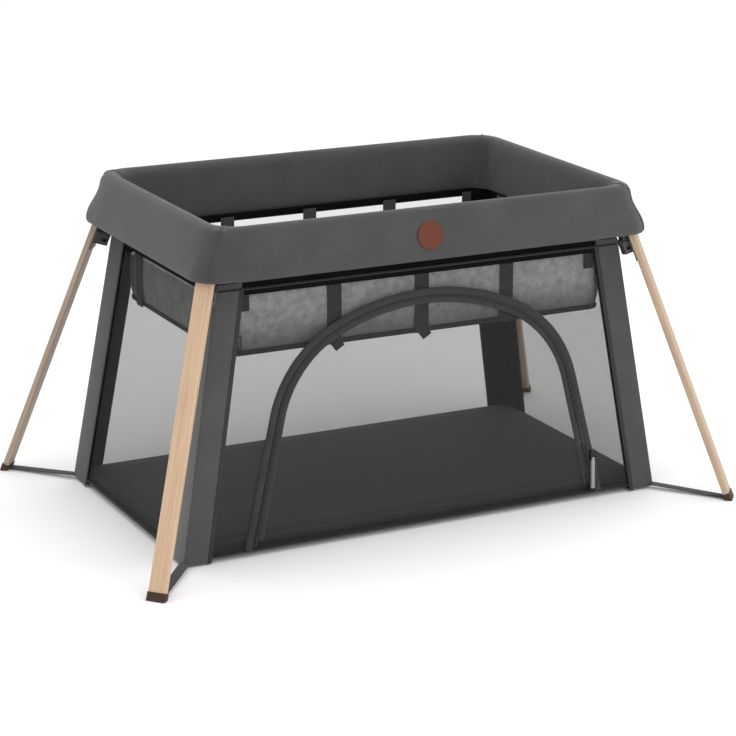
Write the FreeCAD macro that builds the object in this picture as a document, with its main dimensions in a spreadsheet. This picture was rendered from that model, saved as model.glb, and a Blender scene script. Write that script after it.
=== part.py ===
"""Folding travel playpen with splayed beech legs, a padded rail, mesh walls, a zipped arch door and a
hanging bassinet. Millimetres, +X along the pen, -Y the door side, +Z up, origin on the floor at the centre."""
import FreeCAD, Part
import math
import os
import Sketcher

V = FreeCAD.Vector
doc = FreeCAD.newDocument("playpen")

# ---------------------------------------------------------------- driving dimensions
SIZES = {
    # frame tube, in the middle of the padded rail
    "ridge_half_length": 440, "ridge_half_width": 285, "tube_height": 626, "tube_radius": 10,
    "tube_bore": 8.5, "tube_bend": 45, "tube_start": 74,
    # folding joint in the middle of each long side
    "pivot_half_gap": 25, "link_radius": 13, "link_width": 20, "lug_width": 10, "lug_radius": 11,
    "lug_slot": 10.4, "link_web": 24, "hinge_pin_radius": 3, "pin_head_radius": 4.5, "pin_head": 1.5,
    "running_gap": 0.04, "plug_radius": 8.48, "plug_length": 30, "collar_length": 4,
    "button_radius": 4, "button_length": 12, "button_hole_depth": 16, "button_stands_out": 5,
    "button_rim": 0.8,
    # padded rail cover
    "hem_half_length": 485, "hem_half_width": 309, "hem_corner": 40, "hem_height": 545,
    "roll_height": 630, "roll_radius": 16, "rail_top": 645, "roll_corner": 46, "cover_skin": 3,
    "roll_step": 5, "roll_drop": 4, "ridge_corner": 30, "inner_lip": 8, "hem_run": 20,
    "inner_half_length": 420, "inner_half_width": 262, "inner_hem_height": 530, "inner_corner": 44,
    "cover_gap": 48, "flap_half_width": 22, "flap_skin": 3, "flap_margin": 5, "flap_rise": 12,
    "flap_stand_off": 0.5,
    "patch_radius": 26, "patch_thickness": 2.5, "patch_height": 589,
    # body: four sloping walls, corner posts, base and mat
    "foot_half_length": 519, "foot_half_width": 290, "wall_top_half_length": 431,
    "wall_top_half_width": 259, "wall_height": 528, "wall_skin": 4, "post_radius": 11,
    "seam_gap": 0.3, "base_thickness": 12, "base_margin": 8, "mat_thickness": 18, "mat_margin": 14,
    "mat_corner": 42,
    "strip_low": 505, "strip_high": 527, "strip_skin": 3, "strip_gap": 1.5, "strip_end_gap": 3.5,
    "strip_corner_gap": 33,
    # arch door
    "arch_top": 476, "arch_crown_radius": 450, "arch_crown_angle": 25, "arch_shoulder_radius": 230,
    "arch_shoulder_angle": 73, "arch_foot": 27, "binding_width": 28, "binding_skin": 8,
    "door_skin": 3, "door_gap": 1, "door_lift": 3,
    "pull_length": 62, "pull_width": 7, "pull_thickness": 2.2, "pull_hole_radius": 1.6, "pull_eye_radius": 2.7,
    "slider_length": 20, "slider_width": 12, "slider_thickness": 7, "slider_height": 92,
    "slider_inset": 2, "slider_plate": 1.2, "slider_side_gap": 0.4, "slider_pin_radius": 1.5,
    "slider_pin_inset": 3, "slider_pin_height": 4,
    # legs
    "leg_top_x": 447.8, "leg_top_y": 260.3, "leg_top_z": 580, "foot_x": 624, "foot_y": 412,
    "leg_width": 35, "leg_thickness": 13, "leg_start": 38, "leg_end_margin": 7, "leg_round": 3,
    "pivot_drop": 60, "pivot_inset": 22, "knuckle_radius": 12, "tongue_width": 9, "fork_gap": 0.3,
    "ear_width": 4, "fork_depth": 9, "neck_rise": 18, "neck_inset": 2, "arm_overlap": 4,
    "leg_pin_radius": 4, "clamp_half": 15, "clamp_trim": 2,
    "plate_length": 40, "plate_thickness": 2.4, "plate_margin": 3, "cap_length": 14, "cap_wall": 1.5,
    "strap_width": 30, "strap_skin": 2.4, "strap_foot_x": 17, "strap_foot_y": 15, "strap_foot_gap": 6,
    # hanging bassinet
    "tub_half_length": 408, "tub_half_width": 244, "tub_top": 515, "tub_bottom": 385, "tub_skin": 3,
    "tub_floor": 8, "tub_corner": 24, "tub_taper": 4, "mattress_thickness": 16, "mattress_margin": 8,
    "mattress_corner": 20,
    "hanger_width": 30, "hanger_skin": 2, "hanger_gap": 0.3, "hanger_top": 532, "hanger_bottom": 362, "hanger_pitch": 187,
}
sheet = doc.addObject("Spreadsheet::Sheet", "sizes")
for row, (alias, value) in enumerate(SIZES.items(), start=1):
    sheet.set(f"A{row}", alias)
    sheet.set(f"B{row}", str(value))
    sheet.setAlias(f"B{row}", alias)
doc.recompute()


def size(alias):
    """A driving dimension, read back from the spreadsheet."""
    return float(sheet.get(alias))


# ---------------------------------------------------------------- helpers
nodes = []


def body(label):
    """A PartDesign body that is one sub-part."""
    new = doc.addObject("PartDesign::Body", label)
    new.Label = label
    nodes.append(new)
    return new


def feature(label, shape, placement=None):
    """A sub-part whose shape is set in code."""
    new = doc.addObject("Part::Feature", label)
    new.Label = label
    new.Shape = shape
    if placement is not None:
        new.Placement = placement
    nodes.append(new)
    return new


def sketch_on(owner, name, role="XY_Plane", offset=0.0):
    """A sketch on one of a body's own origin planes, moved along that plane's normal."""
    sketch = owner.newObject("Sketcher::SketchObject", name)
    plane = next(f for f in owner.Origin.OriginFeatures if f.Role == role)
    sketch.AttachmentSupport = [(plane, "")]
    sketch.MapMode = "FlatFace"
    sketch.AttachmentOffset = FreeCAD.Placement(V(0, 0, offset), FreeCAD.Rotation())
    return sketch


def add_rectangle(sketch, width, depth):
    """A centred rectangle whose sides follow two expressions."""
    corners = [V(-1, -1, 0), V(1, -1, 0), V(1, 1, 0), V(-1, 1, 0)]
    sides = [Part.LineSegment(corners[k], corners[(k + 1) % 4]) for k in range(4)]
    first = sketch.addGeometry(sides, False)[0]
    for k in range(4):
        sketch.addConstraint(Sketcher.Constraint("Coincident", first + k, 2, first + (k + 1) % 4, 1))
    for k, way in enumerate(("Horizontal", "Vertical", "Horizontal", "Vertical")):
        sketch.addConstraint(Sketcher.Constraint(way, first + k))
    sketch.addConstraint(Sketcher.Constraint("Symmetric", first, 1, first + 2, 1, -1, 1))
    for name, side, rule in (("DistanceX", first, width), ("DistanceY", first + 1, depth)):
        index = sketch.addConstraint(Sketcher.Constraint(name, side, 1, side, 2, 2.0))
        sketch.setExpression(f"Constraints[{index}]", rule)


def add_circle(sketch, radius, along=None, at=0.0):
    """A circle whose radius, and distance from the origin along X, follow expressions."""
    circle = sketch.addGeometry(Part.Circle(V(at, 0, 0), V(0, 0, 1), 1.0), False)
    index = sketch.addConstraint(Sketcher.Constraint("Radius", circle, 1.0))
    sketch.setExpression(f"Constraints[{index}]", radius)
    if along is None:
        sketch.addConstraint(Sketcher.Constraint("Coincident", circle, 3, -1, 1))
        return
    sketch.addConstraint(Sketcher.Constraint("PointOnObject", circle, 3, -1))
    index = sketch.addConstraint(Sketcher.Constraint("DistanceX", -1, 1, circle, 3, at))
    sketch.setExpression(f"Constraints[{index}]", along)


def add_outline(sketch, edges):
    """A closed outline of lines and arcs worked out from the sheet, fixed in place."""
    for index in sketch.addGeometry(edges, False):
        sketch.addConstraint(Sketcher.Constraint("Block", index))


def pad(owner, sketch, length, midplane=False, reverse=False):
    new = owner.newObject("PartDesign::Pad", f"{sketch.Name}_pad")
    new.Profile = sketch
    new.setExpression("Length", length)
    new.Midplane = midplane
    new.Reversed = reverse
    return new


def pocket(owner, sketch, length, midplane=False, reverse=False):
    new = owner.newObject("PartDesign::Pocket", f"{sketch.Name}_pocket")
    new.Profile = sketch
    new.setExpression("Length", length)
    new.Midplane = midplane
    new.Reversed = reverse
    return new


def frame_at(origin, x_axis, z_axis):
    """Placement at a point, from its X and Z directions."""
    z = V(z_axis).normalize()
    y = z.cross(V(x_axis)).normalize()
    x = y.cross(z)
    matrix = FreeCAD.Matrix(x.x, y.x, z.x, origin.x, x.y, y.y, z.y, origin.y, x.z, y.z, z.z, origin.z)
    return FreeCAD.Placement(matrix)


HALF_TURN = FreeCAD.Placement(V(), FreeCAD.Rotation(V(0, 0, 1), 180))
AS_IT_IS = FreeCAD.Placement()


def box(low, high):
    return Part.makeBox(high[0] - low[0], high[1] - low[1], high[2] - low[2], V(*low))


def rounded_wire(half_x, half_y, radius, height):
    """A level rectangle with round corners."""
    x, y, r = half_x - radius, half_y - radius, radius
    edges = []
    for k, (cx, cy) in enumerate([(x, y), (-x, y), (-x, -y), (x, -y)]):
        centre = V(cx, cy, height)
        spots = [centre + V(r * math.cos(a), r * math.sin(a), 0)
                 for a in (math.radians(90 * k + turn) for turn in (0, 45, 90))]
        edges.append(Part.Arc(*spots).toShape())
    sides = [Part.makeLine(edges[k].Vertexes[-1].Point, edges[(k + 1) % 4].Vertexes[0].Point)
             for k in range(4)]
    return Part.Wire([e for pair in zip(edges, sides) for e in pair])


def stack(levels):
    """A solid through level rounded rectangles, each (half x, half y, corner, height)."""
    return Part.makeLoft([rounded_wire(*level) for level in levels], True, True)


# ---------------------------------------------------------------- frame tubes
RIDGE_X, RIDGE_Y, TUBE_Z = size("ridge_half_length"), size("ridge_half_width"), size("tube_height")
BEND, TUBE_START = size("tube_bend"), size("tube_start")


def tube_path():
    """Lines and arcs of the left U, from the front joint round to the back one."""
    inner_x, inner_y = RIDGE_X - BEND, RIDGE_Y - BEND
    corner = BEND * math.sqrt(0.5)
    front, back = V(-inner_x, -inner_y, 0), V(-inner_x, inner_y, 0)
    return [
        Part.LineSegment(V(-TUBE_START, -RIDGE_Y, 0), V(-inner_x, -RIDGE_Y, 0)),
        Part.Arc(V(-inner_x, -RIDGE_Y, 0), front + V(-corner, -corner, 0), V(-RIDGE_X, -inner_y, 0)),
        Part.LineSegment(V(-RIDGE_X, -inner_y, 0), V(-RIDGE_X, inner_y, 0)),
        Part.Arc(V(-RIDGE_X, inner_y, 0), back + V(-corner, corner, 0), V(-inner_x, RIDGE_Y, 0)),
        Part.LineSegment(V(-inner_x, RIDGE_Y, 0), V(-TUBE_START, RIDGE_Y, 0)),
    ]


def frame_tube(label, turn):
    tube = body(label)
    path = sketch_on(tube, f"{label}_path")
    add_outline(path, tube_path())
    ring = sketch_on(tube, f"{label}_ring", "YZ_Plane", -TUBE_START)
    for radius in ("tube_radius", "tube_bore"):
        circle = ring.addGeometry(Part.Circle(V(-RIDGE_Y, 0, 0), V(0, 0, 1), size(radius)), False)
        index = ring.addConstraint(Sketcher.Constraint("Radius", circle, size(radius)))
        ring.setExpression(f"Constraints[{index}]", f"sizes.{radius}")
        ring.addConstraint(Sketcher.Constraint("PointOnObject", circle, 3, -1))
        index = ring.addConstraint(Sketcher.Constraint("DistanceX", circle, 3, -1, 1, RIDGE_Y))
        ring.setExpression(f"Constraints[{index}]", "sizes.ridge_half_width")
    doc.recompute()
    pipe = tube.newObject("PartDesign::AdditivePipe", f"{label}_pipe")
    pipe.Profile = ring
    pipe.Spine = (path, [f"Edge{k + 1}" for k in range(5)])
    tube.Placement = FreeCAD.Placement(V(0, 0, TUBE_Z), turn.Rotation)


frame_tube("left_frame_tube", AS_IT_IS)
frame_tube("right_frame_tube", HALF_TURN)


# ---------------------------------------------------------------- folding joints
def link_outline():
    """Stadium round the two pivots, in the body's XZ plane."""
    half, radius = size("pivot_half_gap"), size("link_radius")
    return [
        Part.LineSegment(V(-half, -radius, 0), V(half, -radius, 0)),
        Part.Arc(V(half, -radius, 0), V(half + radius, 0, 0), V(half, radius, 0)),
        Part.LineSegment(V(half, radius, 0), V(-half, radius, 0)),
        Part.Arc(V(-half, radius, 0), V(-half - radius, 0, 0), V(-half, -radius, 0)),
    ]


def box_outline(x0, y0, x1, y1):
    spots = [V(x0, y0, 0), V(x1, y0, 0), V(x1, y1, 0), V(x0, y1, 0)]
    return [Part.LineSegment(spots[k], spots[(k + 1) % 4]) for k in range(4)]


def hinge_link(label, place):
    """Moulded link with a pivot for each half of the frame and a lock button between them."""
    link = body(label)
    outline = sketch_on(link, f"{label}_outline", "XZ_Plane")
    add_outline(outline, link_outline())
    pad(link, outline, "sizes.link_width", midplane=True)
    slots = sketch_on(link, f"{label}_slots", "XZ_Plane")
    reach = size("pivot_half_gap") + size("link_radius") + 1
    for low, high in ((-reach, -size("link_web") / 2), (size("link_web") / 2, reach)):
        add_outline(slots, box_outline(low, -size("link_radius") - 1, high, size("link_radius") + 1))
    pocket(link, slots, "sizes.lug_slot", midplane=True)
    holes = sketch_on(link, f"{label}_holes", "XZ_Plane")
    add_circle(holes, "sizes.hinge_pin_radius + sizes.running_gap / 2", "sizes.pivot_half_gap", 25)
    add_circle(holes, "sizes.hinge_pin_radius + sizes.running_gap / 2", "-sizes.pivot_half_gap", -25)
    pocket(link, holes, "sizes.link_width * 2", midplane=True)
    well = sketch_on(link, f"{label}_well", "XY_Plane", -size("link_radius"))
    add_circle(well, "sizes.button_radius + sizes.running_gap * 2")
    pocket(link, well, "sizes.button_hole_depth", reverse=True)
    link.Placement = place


def hinge_end(label, place):
    """Moulded lug that plugs into the end of a frame tube and turns on the link's pin."""
    lug = body(label)
    reach, radius = size("tube_start") - size("pivot_half_gap"), size("lug_radius")
    collar = size("collar_length")
    outline = sketch_on(lug, f"{label}_outline", "XZ_Plane")
    add_outline(outline, [
        Part.Arc(V(0, radius, 0), V(radius, 0, 0), V(0, -radius, 0)),
        Part.LineSegment(V(0, -radius, 0), V(collar - reach, -radius + 1, 0)),
        Part.LineSegment(V(collar - reach, -radius + 1, 0), V(collar - reach, radius - 1, 0)),
        Part.LineSegment(V(collar - reach, radius - 1, 0), V(0, radius, 0)),
    ])
    pad(lug, outline, "sizes.lug_width", midplane=True)
    for name, radius_rule, length_rule, start in (
            ("collar", "sizes.tube_radius", "sizes.collar_length", -reach),
            ("plug", "sizes.plug_radius", "sizes.plug_length + 1", -reach - size("plug_length"))):
        ring = sketch_on(lug, f"{label}_{name}", "YZ_Plane", start)
        add_circle(ring, radius_rule)
        pad(lug, ring, length_rule)
    eye = sketch_on(lug, f"{label}_eye", "XZ_Plane")
    add_circle(eye, "sizes.hinge_pin_radius + sizes.running_gap")
    pocket(lug, eye, "sizes.link_width", midplane=True)
    lug.Placement = place


def headed_pins(label, spots):
    """Plain round pins with a flat head at each end, lying along Y, one solid for each spot."""
    radius, length = size("hinge_pin_radius"), size("link_width")
    head_radius, head = size("pin_head_radius"), size("pin_head")
    pins = []
    for spot in spots:
        at = V(spot)
        stem = Part.makeCylinder(radius, length, at - V(0, length / 2, 0), V(0, 1, 0))
        ends = [Part.makeCylinder(head_radius, head, at + V(0, start, 0), V(0, 1, 0))
                for start in (-length / 2 - head, length / 2)]
        pins.append(stem.fuse(ends).removeSplitter())
    feature(label, Part.makeCompound(pins))


def lock_button(label, place):
    """Press button in the underside of a hinge link."""
    button = body(label)
    disc = sketch_on(button, f"{label}_disc")
    add_circle(disc, "sizes.button_radius")
    top = pad(button, disc, "sizes.button_length")
    doc.recompute()
    rim = button.newObject("PartDesign::Chamfer", f"{label}_rim")
    rim.Base = (top, ["Face2"])
    rim.setExpression("Size", "sizes.button_rim")
    button.Placement = place


PIVOT_GAP = size("pivot_half_gap")
pin_spots = []
for side, sign in (("front", -1), ("back", 1)):
    middle = V(0, sign * RIDGE_Y, TUBE_Z)
    hinge_link(f"{side}_hinge_link", FreeCAD.Placement(middle, FreeCAD.Rotation()))
    hinge_end(f"{side}_left_hinge_end", FreeCAD.Placement(middle - V(PIVOT_GAP, 0, 0), FreeCAD.Rotation()))
    hinge_end(f"{side}_right_hinge_end",
              FreeCAD.Placement(middle + V(PIVOT_GAP, 0, 0), HALF_TURN.Rotation))
    pin_spots += [middle - V(PIVOT_GAP, 0, 0), middle + V(PIVOT_GAP, 0, 0)]
    bottom = V(0, 0, size("link_radius") + size("button_stands_out"))
    lock_button(f"{side}_lock_button", FreeCAD.Placement(middle - bottom, FreeCAD.Rotation()))
headed_pins("hinge_pins", pin_spots)

# ---------------------------------------------------------------- padded rail cover
INNER_X, INNER_Y = size("inner_half_length"), size("inner_half_width")
ROLL_X, ROLL_Y = RIDGE_X + size("roll_radius"), RIDGE_Y + size("roll_radius")


def cover_block(inset):
    """The cover's outer form, a sloping band with a rolled top, shrunk by an inset."""
    hem, roll, top = size("hem_height"), size("roll_height"), size("rail_top")
    low = hem if inset == 0 else size("inner_hem_height") - size("roll_step")
    corner, shoulder, step = size("hem_corner"), size("roll_corner"), size("roll_step")
    return stack([
        (size("hem_half_length") - inset, size("hem_half_width") - inset, corner - inset, low),
        (ROLL_X - inset, ROLL_Y - inset, shoulder - inset, roll - inset),
        (ROLL_X - step - inset, ROLL_Y - step - inset, shoulder - step - inset,
         top - size("roll_drop") - inset),
        (RIDGE_X - inset, RIDGE_Y - inset, size("ridge_corner") - inset / 2, top - inset),
    ])


def inner_block(inset):
    """The open middle of the rail, grown by an inset."""
    corner, lip = size("inner_corner"), size("inner_lip")
    return stack([
        (INNER_X + inset, INNER_Y + inset, corner + inset, size("inner_hem_height") - size("hem_run")),
        (RIDGE_X - size("roll_radius") + inset, RIDGE_Y - size("roll_radius") + inset, corner + inset,
         size("roll_height")),
        (RIDGE_X - lip + inset, RIDGE_Y - lip + inset, corner + inset, size("rail_top") + 1),
    ])


def rail_cover():
    """Inverted trough: outer band down to the hem, inner band down to the zip strip."""
    skin = size("cover_skin")
    outer = cover_block(0)
    inner_band = stack([
        (INNER_X + skin, INNER_Y + skin, size("inner_corner") + skin, size("inner_hem_height")),
        (INNER_X + skin, INNER_Y + skin, size("inner_corner") + skin, size("hem_height") + size("hem_run")),
    ])
    hollow = cover_block(skin).cut(inner_block(skin))
    return outer.fuse(inner_band).cut(inner_block(0)).cut(hollow)


whole_cover = rail_cover()
COVER_GAP, REACH = size("cover_gap"), 700
for label, low, high in (("rail_cover_left", -REACH, -COVER_GAP), ("rail_cover_right", COVER_GAP, REACH)):
    feature(label, whole_cover.common(box((low, -REACH, 0), (high, REACH, REACH))))


def middle_flap(sign):
    """Fabric over the outside of a hinge link, which turns with it."""
    half, skin = size("flap_half_width"), size("flap_skin")
    near = ROLL_Y + size("flap_stand_off")
    return box((-half, min(sign * near, sign * (near + skin)), size("hem_height") + size("flap_margin")),
               (half, max(sign * near, sign * (near + skin)), size("roll_height") + size("flap_rise")))


feature("hinge_flaps", Part.makeCompound([middle_flap(-1), middle_flap(1)]))

patch = body("leather_patch")
disc = sketch_on(patch, "patch_disc", "XZ_Plane")
add_circle(disc, "sizes.patch_radius")
pad(patch, disc, "sizes.patch_thickness")
patch.Placement = FreeCAD.Placement(
    V(0, -ROLL_Y - size("flap_stand_off") - size("flap_skin"), size("patch_height")), FreeCAD.Rotation())

# ---------------------------------------------------------------- walls, posts, base and mat
WALL_H, SKIN, SEAM = size("wall_height"), size("wall_skin"), size("seam_gap")
FOOT_X, FOOT_Y = size("foot_half_length"), size("foot_half_width")
TOP_X, TOP_Y = size("wall_top_half_length"), size("wall_top_half_width")
LONG_LEAN = math.atan2(FOOT_Y - TOP_Y, WALL_H)
END_LEAN = math.atan2(FOOT_X - TOP_X, WALL_H)
POST = size("post_radius")


def wall_frame(lean, distance, turn):
    """Placement of a wall's plane: local Y runs up the wall and local Z out of it."""
    upright = FreeCAD.Placement(V(0, -distance, 0), FreeCAD.Rotation(V(1, 0, 0), 90 - math.degrees(lean)))
    return FreeCAD.Placement(V(), FreeCAD.Rotation(V(0, 0, 1), turn)).multiply(upright)


FRONT = wall_frame(LONG_LEAN, FOOT_Y, 0)
BACK = wall_frame(LONG_LEAN, FOOT_Y, 180)
LEFT_END = wall_frame(END_LEAN, FOOT_X, -90)
RIGHT_END = wall_frame(END_LEAN, FOOT_X, 90)
LONG_SLOPE = WALL_H / math.cos(LONG_LEAN)
END_SLOPE = WALL_H / math.cos(END_LEAN)


def arch_edges(inset, foot):
    """Half of the arch door's outline, from its foot on the left up to the crown, inset inwards."""
    crown, shoulder = size("arch_crown_radius"), size("arch_shoulder_radius")
    turn, end = math.radians(size("arch_crown_angle")), math.radians(size("arch_shoulder_angle"))
    crown_z = size("arch_top") - crown
    centre = V(-(crown - shoulder) * math.sin(turn), crown_z + (crown - shoulder) * math.cos(turn), 0)

    def shoulder_spot(angle):
        return centre + V(-(shoulder - inset) * math.sin(angle), (shoulder - inset) * math.cos(angle), 0)

    def crown_spot(angle):
        return V(-(crown - inset) * math.sin(angle), crown_z + (crown - inset) * math.cos(angle), 0)

    spring = shoulder_spot(end)
    base = V(spring.x - (spring.y - foot) / math.tan(end), foot, 0)
    return [
        Part.LineSegment(base, spring),
        Part.Arc(spring, shoulder_spot((turn + end) / 2), shoulder_spot(turn)),
        Part.Arc(crown_spot(turn), crown_spot(turn / 2), crown_spot(0)),
    ], base


def cut_at_seam(outline_edges):
    """The half of an outline left of the seam at the middle, as a planar face."""
    return Part.Face(Part.Wire([e.toShape() for e in outline_edges]))


def half_arch(inset, foot):
    """Face under half of the arch, closed along the seam and the foot."""
    edges, base = arch_edges(inset, foot)
    crown = edges[-1].EndPoint
    edges += [Part.LineSegment(crown, V(0, foot, 0)), Part.LineSegment(V(0, foot, 0), base)]
    return cut_at_seam(edges)


def thick(face, low, high):
    """A face in the wall's own plane, made a plate between two depths along its normal."""
    moved = face.copy()
    moved.translate(V(0, 0, low))
    return moved.extrude(V(0, 0, high - low))


def wall_panel(bottom, top, height, inner):
    """Trapezium in the wall's plane from an inner edge out to the corner post."""
    low = SKIN * math.tan(LONG_LEAN)
    spots = [V(inner, low, 0), V(-bottom, low, 0), V(-top, height, 0), V(inner, height, 0)]
    return Part.Face(Part.makePolygon(spots + spots[:1]))


def mirrored(shape):
    return shape.mirror(V(), V(1, 0, 0))


seam_clearance = box((-SEAM, -REACH, -REACH), (SEAM, REACH, REACH))
LONG_EDGE = (FOOT_X - 2 * POST - 1, TOP_X - 2 * POST - 1)
END_EDGE = (FOOT_Y - 2 * POST - 1, TOP_Y - 2 * POST - 1)
plain_half = thick(wall_panel(*LONG_EDGE, LONG_SLOPE, 0), -SKIN, 0).cut(seam_clearance)
door_hole = thick(half_arch(0, size("arch_foot")), -SKIN - 1, 1)
door_half = plain_half.cut(door_hole)
feature("front_wall_left", door_half, FRONT)
feature("front_wall_right", mirrored(door_half), FRONT)
feature("back_wall_right", plain_half, BACK)
feature("back_wall_left", mirrored(plain_half), BACK)

for label, place in (("left_end_wall", LEFT_END), ("right_end_wall", RIGHT_END)):
    end = body(label)
    outline = sketch_on(end, f"{label}_outline")
    low, high = END_EDGE
    lift = SKIN * math.tan(END_LEAN)
    corners = [V(-low, lift, 0), V(low, lift, 0), V(high, END_SLOPE, 0), V(-high, END_SLOPE, 0)]
    add_outline(outline, [Part.LineSegment(corners[k], corners[(k + 1) % 4]) for k in range(4)])
    pad(end, outline, "sizes.wall_skin", reverse=True)
    end.Placement = place

# door binding, door and the zip's slider and pull, all in the front wall's plane
BINDING, B_SKIN = size("binding_width"), size("binding_skin")
ring = half_arch(0.2, size("arch_foot")).cut(half_arch(BINDING, size("arch_foot") - 1))
binding = thick(ring, -SKIN / 2 - B_SKIN / 2, -SKIN / 2 + B_SKIN / 2).cut(seam_clearance)
feature("door_binding_left", binding, FRONT)
feature("door_binding_right", mirrored(binding), FRONT)
door_face = half_arch(BINDING + size("door_gap"), size("arch_foot") + size("door_lift"))
door = thick(door_face, -SKIN / 2 - size("door_skin") / 2, -SKIN / 2 + size("door_skin") / 2)
door = door.cut(seam_clearance)
feature("door_left", door, FRONT)
feature("door_right", mirrored(door), FRONT)

SLIDER_Z = size("slider_height")
slider_x = -arch_edges(0, SLIDER_Z)[1].x - size("slider_inset")
proud = -SKIN / 2 + B_SKIN / 2


def zip_slider():
    """Slider with a fork at its lower end that holds the pull's pin."""
    wide, long, deep = size("slider_width"), size("slider_length"), size("slider_thickness")
    block = box((-wide / 2, -long / 2, 0), (wide / 2, long / 2, deep))
    half_slot = size("pull_width") / 2 + size("slider_side_gap")
    slot = box((-half_slot, -long, size("slider_plate")), (half_slot, -1, deep + 1))
    pin_at = V(-wide / 2 + 1, -long / 2 + size("slider_pin_inset"), size("slider_pin_height"))
    pin = Part.makeCylinder(size("slider_pin_radius"), wide - 2, pin_at, V(1, 0, 0))
    return block.cut(slot).fuse(pin)


slider_place = FRONT.multiply(FreeCAD.Placement(V(slider_x, SLIDER_Z, proud), FreeCAD.Rotation()))
feature("door_zip_slider", zip_slider(), slider_place)


def zip_pull():
    """Flat tab hanging on the slider's pin."""
    wide, long, deep = size("pull_width"), size("pull_length"), size("pull_thickness")
    pin_y, pin_z = -size("slider_length") / 2 + size("slider_pin_inset"), size("slider_pin_height")
    tab = box((-wide / 2, pin_y - long, pin_z - deep), (wide / 2, pin_y, pin_z + deep))
    eye = Part.makeCylinder(size("pull_eye_radius"), wide, V(-wide / 2, pin_y, pin_z), V(1, 0, 0))
    hole = Part.makeCylinder(size("pull_hole_radius"), wide + 2, V(-wide / 2 - 1, pin_y, pin_z), V(1, 0, 0))
    return tab.fuse(eye).cut(hole)


feature("door_zip_pull", zip_pull(), slider_place)


def corner_post(sign_x, sign_y):
    """Sloping padded seam where two walls meet."""
    foot = V(sign_x * (FOOT_X - POST), sign_y * (FOOT_Y - POST), 0)
    head = V(sign_x * (TOP_X - POST), sign_y * (TOP_Y - POST), WALL_H)
    way = (head - foot).normalize()
    post = Part.makeCylinder(POST, (head - foot).Length + 4 * POST, foot - way * 2 * POST, way)
    return post.common(box((-REACH, -REACH, 0), (REACH, REACH, WALL_H)))


feature("left_corner_posts", Part.makeCompound([corner_post(-1, -1), corner_post(-1, 1)]))
feature("right_corner_posts", Part.makeCompound([corner_post(1, -1), corner_post(1, 1)]))


def half_slab(label, x_margin, thickness, low, turn):
    """Half of a floor layer, square at the middle seam and round at the outer corners."""
    slab = body(label)
    outline = sketch_on(slab, f"{label}_outline")
    r = size("mat_corner")
    end, side = FOOT_X - x_margin, FOOT_Y - x_margin
    k = r * (1 - math.sqrt(0.5))
    add_outline(outline, [
        Part.LineSegment(V(-SEAM, -side, 0), V(-end + r, -side, 0)),
        Part.Arc(V(-end + r, -side, 0), V(-end + k, -side + k, 0), V(-end, -side + r, 0)),
        Part.LineSegment(V(-end, -side + r, 0), V(-end, side - r, 0)),
        Part.Arc(V(-end, side - r, 0), V(-end + k, side - k, 0), V(-end + r, side, 0)),
        Part.LineSegment(V(-end + r, side, 0), V(-SEAM, side, 0)),
        Part.LineSegment(V(-SEAM, side, 0), V(-SEAM, -side, 0)),
    ])
    pad(slab, outline, thickness)
    slab.Placement = FreeCAD.Placement(V(0, 0, low), turn.Rotation)


for side, turn in (("left", AS_IT_IS), ("right", HALF_TURN)):
    half_slab(f"base_{side}", size("base_margin"), "sizes.base_thickness", 0, turn)
    half_slab(f"mat_{side}", size("mat_margin"), "sizes.mat_thickness", size("base_thickness"), turn)


def strip_set(turn):
    """Zip tape round the top of one half's walls, as one length for each wall."""
    low, high, skin = size("strip_low"), size("strip_high"), size("strip_skin")
    middle = (low + high) / 2
    side = FOOT_Y - middle * math.tan(LONG_LEAN) - SKIN - size("strip_gap")
    end = FOOT_X - middle * math.tan(END_LEAN) - SKIN - size("strip_end_gap")
    clear = size("strip_corner_gap")
    lengths = [
        box((-end + clear, -side, low), (-SEAM, -side + skin, high)),
        box((-end + clear, side - skin, low), (-SEAM, side, high)),
        box((-end, -side + clear, low), (-end + skin, side - clear, high)),
    ]
    strips = Part.makeCompound(lengths)
    strips.Placement = turn
    return strips


feature("zip_tape_left", strip_set(AS_IT_IS))
feature("zip_tape_right", strip_set(HALF_TURN))

# ---------------------------------------------------------------- legs
LEG_TOP = V(-size("leg_top_x"), -size("leg_top_y"), size("leg_top_z"))
FOOT = V(-size("foot_x"), -size("foot_y"), 0)
LEG_WAY = (FOOT - LEG_TOP).normalize()
LEG_LENGTH = (FOOT - LEG_TOP).Length
BEND_MIDDLE = V(-RIDGE_X + BEND * (1 - math.sqrt(0.5)), -RIDGE_Y + BEND * (1 - math.sqrt(0.5)), TUBE_Z)


def flipped(vector):
    """The same vector with its Y reversed, for the rear corner of an end."""
    return V(vector.x, -vector.y, vector.z)


# where each leg points when folded along its end of the pen: the rear one lies lower, inside the front one
FOLDED = {"front": V(-0.22, 1.0, -0.06).normalize(), "rear": V(-0.15, -1.0, -0.22).normalize()}
PIVOT_DROP = size("pivot_drop")


def corner_frames(corner):
    """Pivot frame (X along the pin, Z up the leg) and leg frame (X across the leg, Y inwards)."""
    top, way = (LEG_TOP, LEG_WAY) if corner == "front" else (flipped(LEG_TOP), flipped(LEG_WAY))
    leg_frame = frame_at(top, V(-way.y, way.x, 0), way * -1)
    inward = leg_frame.Rotation.multVec(V(0, 1, 0))
    pivot = top + way * PIVOT_DROP + inward * size("pivot_inset")
    return frame_at(pivot, way.cross(FOLDED[corner]), way * -1), leg_frame


def place(shape, frame):
    moved = shape.copy()
    moved.Placement = frame
    return moved


K_RADIUS, TONGUE, EAR = size("knuckle_radius"), size("tongue_width"), size("ear_width")
FORK_NEAR = TONGUE / 2 + size("fork_gap")
LEG_W, LEG_T, LEG_START = size("leg_width"), size("leg_thickness"), size("leg_start")
LEG_END = LEG_LENGTH - size("leg_end_margin")


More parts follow.
